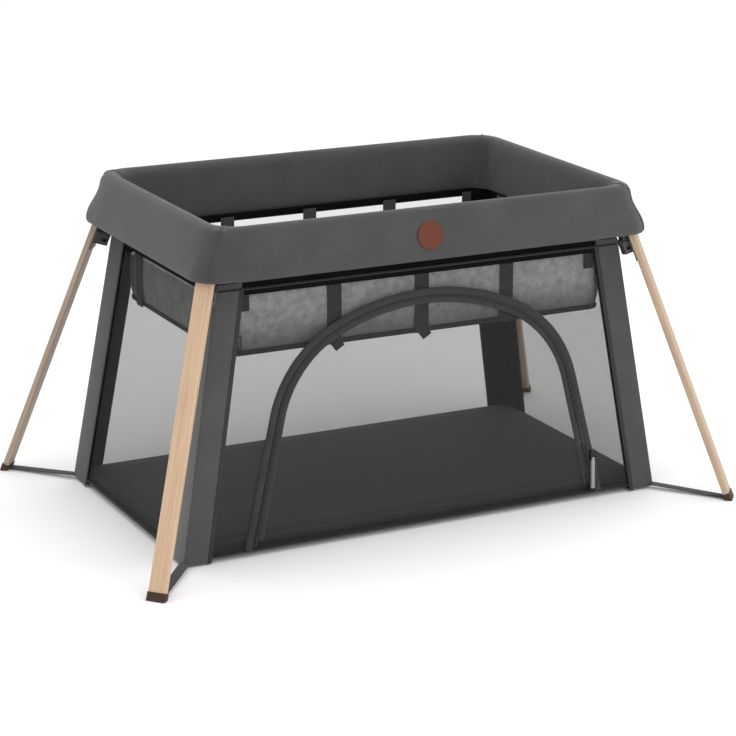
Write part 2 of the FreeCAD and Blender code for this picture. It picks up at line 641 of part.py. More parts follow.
def leg_bar(grow, start, end):
    """Bar along the leg, from and to given distances below its top point, in the leg's frame."""
    half_w, half_t = LEG_W / 2 + grow, LEG_T / 2 + grow
    bar = box((-half_w, -half_t, -end), (half_w, half_t, -start))
    long_edges = [e for e in bar.Edges if abs(e.Length - (end - start)) < 0.01]
    return bar.makeFillet(size("leg_round"), long_edges)


def pin_along(radius, half_length):
    return Part.makeCylinder(radius, 2 * half_length, V(-half_length, 0, 0), V(1, 0, 0))


def bracket(corner, pivot_frame, core):
    """Moulded clamp on the tube's bend, with an arm down to the tongue that the leg turns on."""
    neck = K_RADIUS - size("neck_inset")
    tongue = pin_along(K_RADIUS, TONGUE / 2).fuse(
        box((-TONGUE / 2, -neck, 0), (TONGUE / 2, neck, size("neck_rise"))))
    bend = BEND_MIDDLE if corner == "front" else flipped(BEND_MIDDLE)
    start = V(0, 0, size("neck_rise") - size("arm_overlap"))
    way = pivot_frame.inverse().multVec(bend) - start
    arm = place(box((-TONGUE / 2, -neck, 0), (TONGUE / 2, neck, way.Length)), frame_at(start, V(1, 0, 0), way))
    half, trim = size("clamp_half"), size("clamp_trim")
    turned = frame_at(bend, V(1, -1, 0) if corner == "rear" else V(1, 1, 0), V(0, 0, 1))
    clamp = place(box((-half, -half, trim - half), (half, half, half - trim)), turned)
    block = place(tongue.fuse(arm).cut(pin_along(size("leg_pin_radius"), 2 * TONGUE)), pivot_frame)
    whole = block.fuse(clamp).cut(core).cut(whole_cover)
    return max(whole.Solids, key=lambda solid: solid.Volume)


def leg_head(pivot_frame, leg_frame):
    """Moulded fork on the leg's inner face, with an ear each side of the bracket's tongue."""
    wood = pivot_frame.inverse().multVec(leg_frame.multVec(V(0, 0, -PIVOT_DROP)))
    wood_side = math.copysign(1, wood.x)
    low = -K_RADIUS - size("fork_depth")
    far = {wood_side: size("pivot_inset"), -wood_side: FORK_NEAR + EAR}
    fork = box((-far[-1.0], -K_RADIUS + 1, low), (far[1.0], K_RADIUS - 1, -K_RADIUS - 1))
    for side, reach in far.items():
        start, stop = sorted((side * FORK_NEAR, side * reach))
        fork = fork.fuse(box((start, -K_RADIUS + 1, low), (stop, K_RADIUS - 1, 0)))
        fork = fork.fuse(Part.makeCylinder(K_RADIUS, stop - start, V(start, 0, 0), V(1, 0, 0)))
    fork = fork.cut(pin_along(size("leg_pin_radius") + size("running_gap"), 2 * LEG_W))
    face = LEG_T / 2
    half_plate = LEG_W / 2 - size("plate_margin")
    plate = box((-half_plate, face, -PIVOT_DROP - size("plate_length")),
                (half_plate, face + size("plate_thickness"), -PIVOT_DROP + K_RADIUS))
    whole = place(fork, pivot_frame).fuse(place(plate, leg_frame))
    whole = whole.cut(place(pin_along(K_RADIUS + 1, FORK_NEAR), pivot_frame))
    return whole.cut(place(leg_bar(0, LEG_START - LEG_T, LEG_END), leg_frame)).removeSplitter()


def foot_cap(leg_frame):
    """Moulded cap over the leg's lower end, cut level where it stands on the floor."""
    wall = size("cap_wall")
    cap = place(leg_bar(wall, LEG_LENGTH - size("cap_length"), LEG_LENGTH + 3 * wall + LEG_T), leg_frame)
    cap = cap.common(box((-2 * REACH, -REACH, 0), (0, REACH, REACH)))
    return cap.cut(place(leg_bar(0, LEG_START, LEG_END), leg_frame))


def foot_strap(corner):
    """Webbing from the foot back to the body's lower corner."""
    sign = -1 if corner == "front" else 1
    height = size("base_thickness")
    near = V(-FOOT_X - 1, sign * (FOOT_Y + 1), height / 2)
    away = V(FOOT.x + size("strap_foot_x"), sign * (abs(FOOT.y) - size("strap_foot_y")), height)
    way = away - near
    strap = box((-size("strap_width") / 2, -size("strap_skin") / 2, 0),
                (size("strap_width") / 2, size("strap_skin") / 2, way.Length - size("strap_foot_gap")))
    return place(strap, frame_at(near, V(way.y, -way.x, 0), way))


def tube_core():
    """The tube's full outer form, which the brackets are cut round."""
    path = Part.Wire([e.toShape() for e in tube_path()])
    ring = Part.Wire(Part.makeCircle(size("tube_radius"), V(-TUBE_START, -RIDGE_Y, 0), V(1, 0, 0)))
    core = path.makePipeShell([ring], True, False)
    core.translate(V(0, 0, TUBE_Z))
    return core


core_solid = tube_core()
leg_pins = []

for corner in ("front", "rear"):
    pivot_frame, leg_frame = corner_frames(corner)
    leg_pins.append(place(pin_along(size("leg_pin_radius"), FORK_NEAR + EAR), pivot_frame))
    shapes = {
        "leg_bracket": bracket(corner, pivot_frame, core_solid),
        "leg_head": leg_head(pivot_frame, leg_frame),
        "foot_cap": foot_cap(leg_frame),
        "foot_strap": foot_strap(corner),
    }
    other = "rear" if corner == "front" else "front"
    for name, shape in shapes.items():
        feature(f"{corner}_left_{name}", shape)
        turned = shape.copy()
        turned.Placement = HALF_TURN.multiply(shape.Placement)
        feature(f"{other}_right_{name}", turned)
    for label, turn in ((f"{corner}_left_leg", AS_IT_IS), (f"{other}_right_leg", HALF_TURN)):
        leg = body(label)
        section = sketch_on(leg, f"{label}_section", "XY_Plane", -LEG_END)
        add_rectangle(section, "sizes.leg_width", "sizes.leg_thickness")
        bar = pad(leg, section, str(LEG_END - LEG_START))
        doc.recompute()
        rounding = leg.newObject("PartDesign::Fillet", f"{label}_rounding")
        long_edges = [f"Edge{k + 1}" for k, e in enumerate(bar.Shape.Edges)
                      if abs(e.Length - (LEG_END - LEG_START)) < 0.01]
        rounding.Base = (bar, long_edges)
        rounding.setExpression("Radius", "sizes.leg_round")
        leg.Placement = turn.multiply(leg_frame)
feature("left_leg_pins", Part.makeCompound(leg_pins))
feature("right_leg_pins", Part.makeCompound(leg_pins), HALF_TURN)

# ---------------------------------------------------------------- hanging bassinet
TUB_X, TUB_Y, TUB_LOW, TUB_TOP = (size(f"tub_{name}") for name in
                                  ("half_length", "half_width", "bottom", "top"))
T_SKIN, T_FLOOR, T_CORNER, TAPER = (size(f"tub_{name}") for name in ("skin", "floor", "corner", "taper"))
tub = stack([(TUB_X - TAPER, TUB_Y - TAPER, T_CORNER, TUB_LOW), (TUB_X, TUB_Y, T_CORNER, TUB_TOP)])
tub_inside = stack([
    (TUB_X - TAPER - T_SKIN, TUB_Y - TAPER - T_SKIN, T_CORNER - T_SKIN, TUB_LOW + T_FLOOR),
    (TUB_X - T_SKIN, TUB_Y - T_SKIN, T_CORNER - T_SKIN, TUB_TOP + 0.01),
])
feature("bassinet_tub", tub.cut(tub_inside))
margin, round_corner, rest = size("mattress_margin"), size("mattress_corner"), TUB_LOW + T_FLOOR
mattress = stack([(TUB_X - margin, TUB_Y - margin, round_corner, height)
                  for height in (rest, rest + size("mattress_thickness"))])
feature("bassinet_mattress", mattress)
hangers = []
for step in range(-2, 3):
    for sign in (-1, 1):
        near = sign * (TUB_Y + size("hanger_gap"))
        far = near + sign * size("hanger_skin")
        at = step * size("hanger_pitch")
        hangers.append(box((at - size("hanger_width") / 2, min(near, far), size("hanger_bottom")),
                           (at + size("hanger_width") / 2, max(near, far), size("hanger_top"))))
feature("bassinet_straps", Part.makeCompound(hangers))

# ---------------------------------------------------------------- check and write
doc.recompute()
for thing in doc.Objects:
    if "Invalid" in thing.State or "Error" in thing.State:
        raise RuntimeError(f"{thing.Label} did not recompute: {thing.State}")
os.makedirs("parts", exist_ok=True)
for node in nodes:
    if node.Shape.isNull() or not node.Shape.isValid() or not node.Shape.Solids:
        raise RuntimeError(f"{node.Label} has no valid solid")
    node.Shape.exportStep(f"parts/{node.Label}.step")
print(len(nodes), "sub-parts written")
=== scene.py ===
"""A folding playpen with a lift-out bassinet: the cloth, net, wood and trim over its fixed frame.

Lengths in the lists are millimetres.
"""

import math

import bmesh
import bpy
from mathutils import Matrix, Quaternion, Vector


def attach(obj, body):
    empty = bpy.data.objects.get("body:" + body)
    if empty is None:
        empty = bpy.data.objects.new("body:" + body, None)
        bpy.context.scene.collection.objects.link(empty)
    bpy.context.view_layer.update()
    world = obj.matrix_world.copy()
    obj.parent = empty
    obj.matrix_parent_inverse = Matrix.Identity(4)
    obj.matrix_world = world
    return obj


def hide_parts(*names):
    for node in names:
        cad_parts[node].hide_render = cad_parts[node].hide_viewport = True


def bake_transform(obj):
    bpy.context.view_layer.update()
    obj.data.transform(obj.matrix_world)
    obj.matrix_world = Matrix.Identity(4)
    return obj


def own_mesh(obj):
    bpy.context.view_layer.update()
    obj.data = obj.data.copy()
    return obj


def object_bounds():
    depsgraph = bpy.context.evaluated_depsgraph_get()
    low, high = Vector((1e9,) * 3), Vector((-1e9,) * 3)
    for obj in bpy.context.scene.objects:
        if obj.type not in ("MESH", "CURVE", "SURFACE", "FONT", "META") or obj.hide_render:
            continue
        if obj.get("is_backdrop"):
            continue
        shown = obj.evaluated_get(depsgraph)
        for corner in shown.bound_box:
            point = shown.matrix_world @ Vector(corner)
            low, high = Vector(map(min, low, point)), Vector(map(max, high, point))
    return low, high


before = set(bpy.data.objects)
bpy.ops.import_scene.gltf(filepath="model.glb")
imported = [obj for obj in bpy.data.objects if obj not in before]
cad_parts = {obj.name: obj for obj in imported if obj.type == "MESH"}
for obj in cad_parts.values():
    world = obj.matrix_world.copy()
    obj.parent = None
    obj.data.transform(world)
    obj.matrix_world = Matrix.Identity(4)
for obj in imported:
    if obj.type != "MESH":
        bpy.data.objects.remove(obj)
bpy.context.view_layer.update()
MM = 0.001
SIDES = {"left": -1, "right": 1}
ENDS = {"front": -1, "rear": 1}


# Camera, floor and light ---------------------------------------------------

CAMERA_TURN = math.radians(-27.39)
CAMERA_RISE = math.radians(16.54)
CAMERA_DISTANCE = 5.0165
CAMERA_AIM = Vector((0.042, 0, 0.2403))
CAMERA_ROLL = math.radians(0.387)
CAMERA_LENS = 120.45
CAMERA_SHIFT = -0.018


def make_camera():
    back = Vector(
        (
            math.sin(CAMERA_TURN) * math.cos(CAMERA_RISE),
            -math.cos(CAMERA_TURN) * math.cos(CAMERA_RISE),
            math.sin(CAMERA_RISE),
        )
    )
    bpy.ops.object.camera_add(location=CAMERA_AIM + back * CAMERA_DISTANCE)
    camera = bpy.context.object
    camera.rotation_mode = "QUATERNION"
    level = (-back).to_track_quat("-Z", "Y")
    camera.rotation_quaternion = level @ Quaternion((0, 0, 1), CAMERA_ROLL)
    camera.data.lens = CAMERA_LENS
    camera.data.shift_x = CAMERA_SHIFT
    camera.data.clip_start, camera.data.clip_end = 0.1, 60
    bpy.context.scene.camera = camera


def area_light(name, place, size, power):
    bpy.ops.object.light_add(type="AREA", location=place)
    lamp = bpy.context.object
    lamp.name = name
    lamp.data.size, lamp.data.energy = size, power
    lamp.rotation_mode = "QUATERNION"
    lamp.rotation_quaternion = (Vector((0, 0, 0.3)) - Vector(place)).to_track_quat("-Z", "Y")


make_camera()
area_light("key_softbox", (0.6, -3.8, 1.5), 2.4, 30)
area_light("fill_softbox", (3.4, -1.6, 2.0), 2.6, 16)
area_light("top_softbox", (0.3, 0.4, 4.2), 3.4, 44)


# Editing helpers -----------------------------------------------------------


def deselect():
    if bpy.context.object and bpy.context.object.mode != "OBJECT":
        bpy.ops.object.mode_set(mode="OBJECT")
    bpy.ops.object.select_all(action="DESELECT")


def only(piece):
    deselect()
    piece.select_set(True)
    bpy.context.view_layer.objects.active = piece


def edit(piece):
    only(piece)
    bpy.ops.object.mode_set(mode="EDIT")


def close_outwards():
    """Turns every face of the piece in edit mode outwards, and leaves edit mode."""
    bpy.ops.mesh.select_all(action="SELECT")
    bpy.ops.mesh.normals_make_consistent(inside=False)
    bpy.ops.object.mode_set(mode="OBJECT")


def sheet_of_cloth(name, half_x, half_y, height):
    """A flat square sheet pulled to its half sizes at that height, left open for editing."""
    deselect()
    bpy.ops.mesh.primitive_plane_add(size=2, location=(0, 0, 0))
    piece = bpy.context.object
    piece.name = piece.data.name = name
    bpy.ops.object.mode_set(mode="EDIT")
    bpy.ops.mesh.select_all(action="SELECT")
    bpy.ops.transform.resize(value=(half_x, half_y, 1), center_override=(0, 0, 0))
    bpy.ops.transform.translate(value=(0, 0, height))
    return piece


def pick(piece, test, kind="VERT"):
    """Selects the vertices, edges or faces whose middle passes the test, and nothing else."""
    bpy.ops.mesh.select_mode(type=kind)
    bpy.ops.mesh.select_all(action="DESELECT")
    mesh = bmesh.from_edit_mesh(piece.data)
    parts = {"VERT": mesh.verts, "EDGE": mesh.edges, "FACE": mesh.faces}[kind]
    for part in parts:
        middle = part.co if kind == "VERT" else sum((v.co for v in part.verts), Vector()) / len(part.verts)
        part.select_set(bool(test(middle)))
    mesh.select_flush_mode()
    bmesh.update_edit_mesh(piece.data)


def smooth(piece, degrees=40):
    only(piece)
    bpy.ops.object.shade_smooth_by_angle(angle=math.radians(degrees), keep_sharp_edges=True)
    return piece


def settle(piece, thickness=0.0, bevel=0.0, rounds=0, offset=0.0):
    """Leaves edit mode, gives the piece its thickness, rounded edges and subdivision, and applies them."""
    only(piece)
    if thickness:
        wall = piece.modifiers.new("wall", "SOLIDIFY")
        wall.thickness, wall.offset, wall.use_even_offset = thickness, offset, True
    if bevel:
        edge = piece.modifiers.new("edge", "BEVEL")
        edge.width, edge.segments, edge.limit_method = bevel, 2, "ANGLE"
        edge.angle_limit = math.radians(40)
    if rounds:
        finer = piece.modifiers.new("finer", "SUBSURF")
        finer.levels = finer.render_levels = rounds
    for modifier in list(piece.modifiers):
        bpy.ops.object.modifier_apply(modifier=modifier.name)
    return smooth(piece)


def copy_of(piece, name):
    only(piece)
    bpy.ops.object.duplicate()
    twin = bpy.context.object
    twin.name = twin.data.name = name
    return twin


def joined(name, *pieces):
    deselect()
    for piece in pieces:
        piece.select_set(True)
    bpy.context.view_layer.objects.active = pieces[0]
    bpy.ops.object.join()
    pieces[0].name = pieces[0].data.name = name
    return pieces[0]


def put(piece, where):
    """Moves the piece's mesh by a matrix, so that its object stays at the origin."""
    piece.data.transform(where)
    piece.data.update()
    return piece


def pulled_band(name, corner, rings, closed, spacing=12 * MM, turns=10):
    """A band of cloth pulled through rounded rectangles, each (half length, half width, height) in millimetres."""
    first = [v * MM for v in rings[0]]
    piece = sheet_of_cloth(name, *first)
    bpy.ops.mesh.bevel(offset=corner * MM, segments=turns, affect="VERTICES", clamp_overlap=False)
    bpy.ops.mesh.delete(type="ONLY_FACE")
    straight_x, straight_y = 2 * (first[0] - corner * MM), 2 * (first[1] - corner * MM)
    pick(piece, lambda m: abs(abs(m.y) - first[1]) < 1e-6 and abs(m.x) < 1e-3, "EDGE")
    bpy.ops.mesh.subdivide(number_cuts=2 * round(straight_x / spacing / 2) - 1)
    pick(piece, lambda m: abs(abs(m.x) - first[0]) < 1e-6 and abs(m.y) < 1e-3, "EDGE")
    bpy.ops.mesh.subdivide(number_cuts=2 * round(straight_y / spacing / 2) - 1)
    bpy.ops.mesh.select_all(action="SELECT")
    for before, after in zip(rings, rings[1:] + rings[:1] if closed else rings[1:]):
        rise = (after[2] - before[2]) * MM
        bpy.ops.mesh.extrude_edges_move(TRANSFORM_OT_translate={"value": (0, 0, rise)})
        wider = (after[0] / before[0], after[1] / before[1], 1)
        bpy.ops.transform.resize(value=wider, center_override=(0, 0, 0))
    bpy.ops.mesh.select_all(action="SELECT")
    bpy.ops.mesh.remove_doubles(threshold=0.02 * MM)
    close_outwards()
    return piece


def halves(piece, names, gap=0.0):
    """Cuts a piece that spans both halves of the pen at the fold line, into a left and a right piece."""
    made = []
    for name, side in zip(names, (-1, 1)):
        half = copy_of(piece, name)
        edit(half)
        bpy.ops.mesh.select_all(action="SELECT")
        bpy.ops.mesh.bisect(plane_co=(side * gap, 0, 0), plane_no=(-side, 0, 0), use_fill=True, clear_outer=True)
        bpy.ops.object.mode_set(mode="OBJECT")
        made.append(smooth(half))
    only(piece)
    bpy.ops.object.delete()
    return made


def puffed(piece, cap, held, pressure=4.0, frames=20):
    """Blows a closed pad up with cloth simulation. held(point) is true where stitching holds it.

    Each point keeps only how far it swells outwards, up to cap.
    """
    only(piece)
    rest = [(v.co.copy(), v.normal.copy()) for v in piece.data.vertices]
    stitched = piece.vertex_groups.new(name="stitched")
    stitched.add([i for i, (place, out) in enumerate(rest) if held(place)], 1.0, "REPLACE")
    cloth = piece.modifiers.new("air", "CLOTH")
    setup = cloth.settings
    setup.quality, setup.mass = 5, 0.3
    setup.tension_stiffness = setup.compression_stiffness = 12
    setup.use_pressure, setup.uniform_pressure_force = True, pressure
    setup.effector_weights.gravity = 0
    setup.vertex_group_mass = "stitched"
    cloth.point_cache.frame_start, cloth.point_cache.frame_end = 1, frames
    for step in range(1, frames + 1):
        bpy.context.scene.frame_set(step)
    only(piece)
    bpy.ops.object.modifier_apply(modifier=cloth.name)
    for vertex, (place, out) in zip(piece.data.vertices, rest):
        swell = (vertex.co - place).dot(out)
        vertex.co = place + out * min(max(swell, 0), cap)
    piece.vertex_groups.clear()
    bpy.context.scene.frame_set(1)
    return piece


# Materials -----------------------------------------------------------------


def linear(colour):
    """An sRGB hex colour as the linear colour that a shader takes."""
    parts = [int(colour[i : i + 2], 16) / 255 for i in (0, 2, 4)]
    return [c / 12.92 if c <= 0.04045 else ((c + 0.055) / 1.055) ** 2.4 for c in parts] + [1.0]


def add_node(tree, kind, settings=None, inputs=None, stops=None):
    """Adds a node, sets its properties, and sets or links its inputs. stops are a ramp's (place, hex colour) pairs."""
    made = tree.nodes.new(kind)
    for name, value in (settings or {}).items():
        setattr(made, name, value)
    for name, value in (inputs or {}).items():
        if isinstance(value, bpy.types.NodeSocket):
            tree.links.new(value, made.inputs[name])
        else:
            made.inputs[name].default_value = value
    if stops:
        ramp = made.color_ramp.elements
        while len(ramp) < len(stops):
            ramp.new(0.5)
        for element, (place, colour) in zip(ramp, stops):
            element.position, element.color = place, linear(colour)
    return made


def blank(name, **finish):
    """A new material with its shader, and the values that are the same all over it."""
    material = bpy.data.materials.new(name)
    material.use_nodes = True
    tree = material.node_tree
    tree.nodes.clear()
    shader = add_node(tree, "ShaderNodeBsdfPrincipled", {}, finish)
    add_node(tree, "ShaderNodeOutputMaterial", {}, {"Surface": shader.outputs[0]})
    place = add_node(tree, "ShaderNodeTexCoord")
    return material, tree, shader, place


WAVE = 0.314  # a wave texture repeats every WAVE / scale metres


def threads(tree, place, pitch):
    """The height of a plain weave: ridges in each of three directions, so that it shows on faces along any axis."""
    total = None
    for direction in "XYZ":
        ridges = add_node(
            tree,
            "ShaderNodeTexWave",
            {"bands_direction": direction},
            {"Vector": place.outputs["Object"], "Scale": WAVE / (pitch * MM), "Distortion": 0.6, "Detail": 1.0},
        ).outputs["Fac"]
        if total is None:
            total = ridges
        else:
            total = add_node(tree, "ShaderNodeMath", {"operation": "ADD"}, {0: total, 1: ridges}).outputs[0]
    return total


def woven(name, dark, light, pitch, rough, sheen=0.3, fleck=2.5, patch=70.0, shade=None, level=0.25):
    """Piece-dyed polyester cloth: matt, with yarns a few millimetres long and soft shade changes over a hand's width.

    shade gives the two heights, in metres, between which painted shade darkens the cloth downwards towards dark grey:
    none at the upper height, three quarters at the lower one and below.
    """
    material, tree, shader, place = blank(
        name, **{"Sheen Weight": sheen, "Sheen Roughness": 0.5, "Specular IOR Level": level}
    )
    yarns = add_node(
        tree,
        "ShaderNodeTexNoise",
        {},
        {"Vector": place.outputs["Object"], "Scale": 1 / (fleck * MM), "Detail": 3.0, "Roughness": 0.7},
    )
    shades = add_node(
        tree, "ShaderNodeTexNoise", {}, {"Vector": place.outputs["Object"], "Scale": 1 / (patch * MM), "Detail": 2.0}
    )
    both = add_node(
        tree, "ShaderNodeMix", {"data_type": "FLOAT"}, {0: 0.4, 2: yarns.outputs["Fac"], 3: shades.outputs["Fac"]}
    )
    colour = add_node(
        tree, "ShaderNodeValToRGB", {}, {"Fac": both.outputs[0]}, [(0.3, dark), (0.7, light)]
    ).outputs[0]
    if shade:
        # Painted shade: the colour is mixed towards dark grey 4A4A4A, more the lower the point.
        axes = add_node(tree, "ShaderNodeSeparateXYZ", {}, {"Vector": place.outputs["Object"]})
        painted_shade_fall = add_node(
            tree,
            "ShaderNodeMapRange",
            {"interpolation_type": "SMOOTHSTEP"},
            {"Value": axes.outputs[2], "From Min": shade[0], "From Max": shade[1], "To Min": 0.75, "To Max": 0.0},
        )
        colour = add_node(
            tree, "ShaderNodeMix", {"data_type": "RGBA"}, {0: painted_shade_fall.outputs[0], 6: colour, 7: linear("4A4A4A")}
        ).outputs[2]
    weave = threads(tree, place, pitch)
    bump = add_node(
        tree, "ShaderNodeBump", {}, {"Strength": 0.25, "Distance": 0.3 * MM, "Height": weave}
    )
    matt = add_node(
        tree, "ShaderNodeMapRange", {}, {"Value": yarns.outputs["Fac"], "To Min": rough - 0.06, "To Max": rough + 0.08}
    )
    for socket, source in (
        ("Base Color", colour),
        ("Roughness", matt.outputs[0]),
        ("Normal", bump.outputs[0]),
    ):
        tree.links.new(source, shader.inputs[socket])
    return material


NET_PITCH = 2.4


def net(name, colour, cover, spread):
    """Warp-knitted polyester net: thin dark yarn round diamond holes, so that most of what is behind shows through."""
    material, tree, shader, place = blank(
        name, **{"Base Color": linear(colour), "Roughness": 0.75, "Specular IOR Level": 0.2}
    )
    axes = add_node(tree, "ShaderNodeSeparateXYZ", {}, {"Vector": place.outputs["Object"]})
    across = add_node(
        tree, "ShaderNodeMath", {"operation": "ADD"}, {0: axes.outputs[0], 1: axes.outputs[1]}
    ).outputs[0]
    waves = []
    for operation in ("ADD", "SUBTRACT"):
        slope = add_node(
            tree, "ShaderNodeMath", {"operation": operation}, {0: across, 1: axes.outputs[2]}
        ).outputs[0]
        turns = add_node(
            tree, "ShaderNodeMath", {"operation": "MULTIPLY"}, {0: slope, 1: math.pi / (NET_PITCH * MM)}
        ).outputs[0]
        wave = add_node(tree, "ShaderNodeMath", {"operation": "SINE"}, {0: turns}).outputs[0]
        waves.append(add_node(tree, "ShaderNodeMath", {"operation": "ABSOLUTE"}, {0: wave}).outputs[0])
    hole = add_node(tree, "ShaderNodeMath", {"operation": "MULTIPLY"}, {0: waves[0], 1: waves[1]}).outputs[0]
    yarn = add_node(
        tree,
        "ShaderNodeMapRange",
        {},
        {"Value": hole, "From Min": 0.0, "From Max": 0.8, "To Min": cover + spread, "To Max": cover - spread},
    )
    tree.links.new(yarn.outputs[0], shader.inputs["Alpha"])
    return material


def webbing(name, dark, light, rib=1.8):
    """Woven polyester webbing: fine ribs across the strap, read from the strap's own UV map in metres."""
    material, tree, shader, place = blank(name, **{"Specular IOR Level": 0.3, "Sheen Weight": 0.15})
    ribs = add_node(
        tree,
        "ShaderNodeTexWave",
        {"bands_direction": "X"},
        {"Vector": place.outputs["UV"], "Scale": WAVE / (rib * MM), "Distortion": 0.4, "Detail": 1.0},
    )
    fuzz = add_node(tree, "ShaderNodeTexNoise", {}, {"Vector": place.outputs["Object"], "Scale": 300.0, "Detail": 2.0})
    both = add_node(
        tree, "ShaderNodeMix", {"data_type": "FLOAT"}, {0: 0.5, 2: ribs.outputs["Fac"], 3: fuzz.outputs["Fac"]}
    )
    colour = add_node(tree, "ShaderNodeValToRGB", {}, {"Fac": both.outputs[0]}, [(0.2, dark), (0.8, light)])
    rough = add_node(tree, "ShaderNodeMapRange", {}, {"Value": fuzz.outputs["Fac"], "To Min": 0.6, "To Max": 0.85})
    bump = add_node(
        tree, "ShaderNodeBump", {}, {"Strength": 0.4, "Distance": 0.3 * MM, "Height": ribs.outputs["Fac"]}
    )
    for socket, source in (
        ("Base Color", colour.outputs[0]),
        ("Roughness", rough.outputs[0]),
        ("Normal", bump.outputs[0]),
    ):
        tree.links.new(source, shader.inputs[socket])
    return material


def beech(name, along, pale, deep):
    """Planed and oiled beech: pale, with long faint growth lines and short dark flecks running along the leg."""
    material, tree, shader, place = blank(
        name, **{"Specular IOR Level": 0.35, "Coat Weight": 0.12, "Coat Roughness": 0.35}
    )
    turn = Vector(along).normalized().rotation_difference(Vector((0, 0, 1))).to_euler()
    lined = add_node(
        tree, "ShaderNodeMapping", {}, {"Vector": place.outputs["Object"], "Rotation": turn}
    ).outputs[0]
    long = add_node(tree, "ShaderNodeMapping", {}, {"Vector": lined, "Scale": (1, 1, 0.04)}).outputs[0]
    growth = add_node(
        tree, "ShaderNodeTexNoise", {}, {"Vector": long, "Scale": 1 / (5 * MM), "Detail": 4.0, "Distortion": 0.5}
    )
    short = add_node(tree, "ShaderNodeMapping", {}, {"Vector": lined, "Scale": (1, 1, 0.2)}).outputs[0]
    flecks = add_node(tree, "ShaderNodeTexNoise", {}, {"Vector": short, "Scale": 1 / (0.9 * MM), "Detail": 1.0})
    tint = add_node(
        tree, "ShaderNodeValToRGB", {}, {"Fac": growth.outputs["Fac"]}, [(0.3, deep), (0.65, pale)]
    )
    dots = add_node(
        tree,
        "ShaderNodeMapRange",
        {},
        {"Value": flecks.outputs["Fac"], "From Min": 0.62, "From Max": 0.75, "To Max": 0.35},
    )
    colour = add_node(
        tree,
        "ShaderNodeMix",
        {"data_type": "RGBA", "blend_type": "MULTIPLY"},
        {0: dots.outputs[0], 6: tint.outputs[0], 7: linear("B98A62")},
    )
    rough = add_node(
        tree, "ShaderNodeMapRange", {}, {"Value": growth.outputs["Fac"], "To Min": 0.42, "To Max": 0.62}
    )
    bump = add_node(
        tree, "ShaderNodeBump", {}, {"Strength": 0.15, "Distance": 0.2 * MM, "Height": growth.outputs["Fac"]}
    )
    for socket, source in (
        ("Base Color", colour.outputs[2]),
        ("Roughness", rough.outputs[0]),
        ("Normal", bump.outputs[0]),
    ):
        tree.links.new(source, shader.inputs[socket])
    return material


def grained(name, dark, light, grain, rough, metal=0.0, depth=0.2, level=0.5):
    """Moulded, coated or tanned stock: a fine all-over grain in its colour, gloss and surface."""
    material, tree, shader, place = blank(name, **{"Metallic": metal, "Specular IOR Level": level})
    grit = add_node(
        tree,
        "ShaderNodeTexNoise",
        {},
        {"Vector": place.outputs["Object"], "Scale": 1 / (grain * MM), "Detail": 4.0, "Roughness": 0.6},
    )
    colour = add_node(tree, "ShaderNodeValToRGB", {}, {"Fac": grit.outputs["Fac"]}, [(0.35, dark), (0.65, light)])
    gloss = add_node(
        tree, "ShaderNodeMapRange", {}, {"Value": grit.outputs["Fac"], "To Min": rough - 0.1, "To Max": rough + 0.1}
    )
    bump = add_node(
        tree, "ShaderNodeBump", {}, {"Strength": depth, "Distance": 0.3 * MM, "Height": grit.outputs["Fac"]}
    )
    for socket, source in (
        ("Base Color", colour.outputs[0]),
        ("Roughness", gloss.outputs[0]),
        ("Normal", bump.outputs[0]),
    ):
        tree.links.new(source, shader.inputs[socket])
    return material


RAIL_CANVAS = woven("charcoal_polyester_canvas", "383838", "494949", 1.2, 0.82, sheen=0.2)
POST_CANVAS = woven("charcoal_sleeve_canvas", "3A3A3A", "4C4C4C", 1.2, 0.82)
# Black taffeta for the zip tape and the bassinet's floor, also used as painted shade inside the corner posts.
BLACK_TAFFETA_AND_SHADE = woven("black_taffeta_and_painted_shade", "0A0A0A", "141414", 0.9, 0.8, sheen=0.0, level=0.04)
MAT_CLOTH = woven("black_mat_polyester", "242424", "323232", 1.0, 0.75, sheen=0.15)
BASE_CLOTH = woven("black_base_oxford_cloth", "141414", "202020", 1.4, 0.7, sheen=0.1)
BINDING_TAPE = woven("dark_binding_tape", "262626", "343434", 1.2, 0.75, sheen=0.1)
DOOR_TAPE = woven("charcoal_door_binding_tape", "262626", "363636", 1.2, 0.8, sheen=0.1)
# The bassinet's side knit carries painted shade, darker towards its foot.
BASSINET_KNIT = woven(
    "grey_heather_knit", "969696", "F2F2F2", 1.6, 0.85, fleck=2.2, patch=14.0, shade=(0.385, 0.47)
)
BASSINET_END = woven("charcoal_bassinet_cloth", "5E5E5E", "A6A6A6", 1.2, 0.85, fleck=4.0, patch=30.0)
MATTRESS_KNIT = woven("pale_heather_mattress_knit", "A0A0A0", "D0D0D0", 1.6, 0.85, fleck=3.0)
SIDE_NET = net("dark_knitted_net", "303030", 0.47, spread=0.16)
BACK_NET = net("dark_knitted_net_back", "303030", 0.30, spread=0.08)
STRAP_WEBBING = webbing("charcoal_webbing", "262626", "3C3C3C")
PULL_TAPE = webbing("pale_grey_pull_tape", "8A8A8A", "A8A8A8", 1.2)
ZIP_COIL = webbing("black_nylon_zip_coil", "0C0C0C", "222222", 1.6)
FRAME_STEEL = grained("powder_coated_steel_tube", "262626", "303030", 0.8, 0.45)
PIN_STEEL = grained("zinc_plated_steel", "A8A8A6", "C4C4C0", 1.5, 0.3, metal=1.0, depth=0.05)
HINGE_NYLON = grained("moulded_charcoal_nylon", "383838", "444444", 0.6, 0.5)
BUTTON_NYLON = grained("moulded_grey_button", "6E6E6E", "7C7C7C", 0.6, 0.4)
FOOT_RUBBER = grained("moulded_brown_rubber", "332419", "46332A", 0.7, 0.65, level=0.3)
PATCH_LEATHER = grained("tanned_brown_leather", "54240F", "66301A", 1.2, 0.55, depth=0.5, level=0.3)
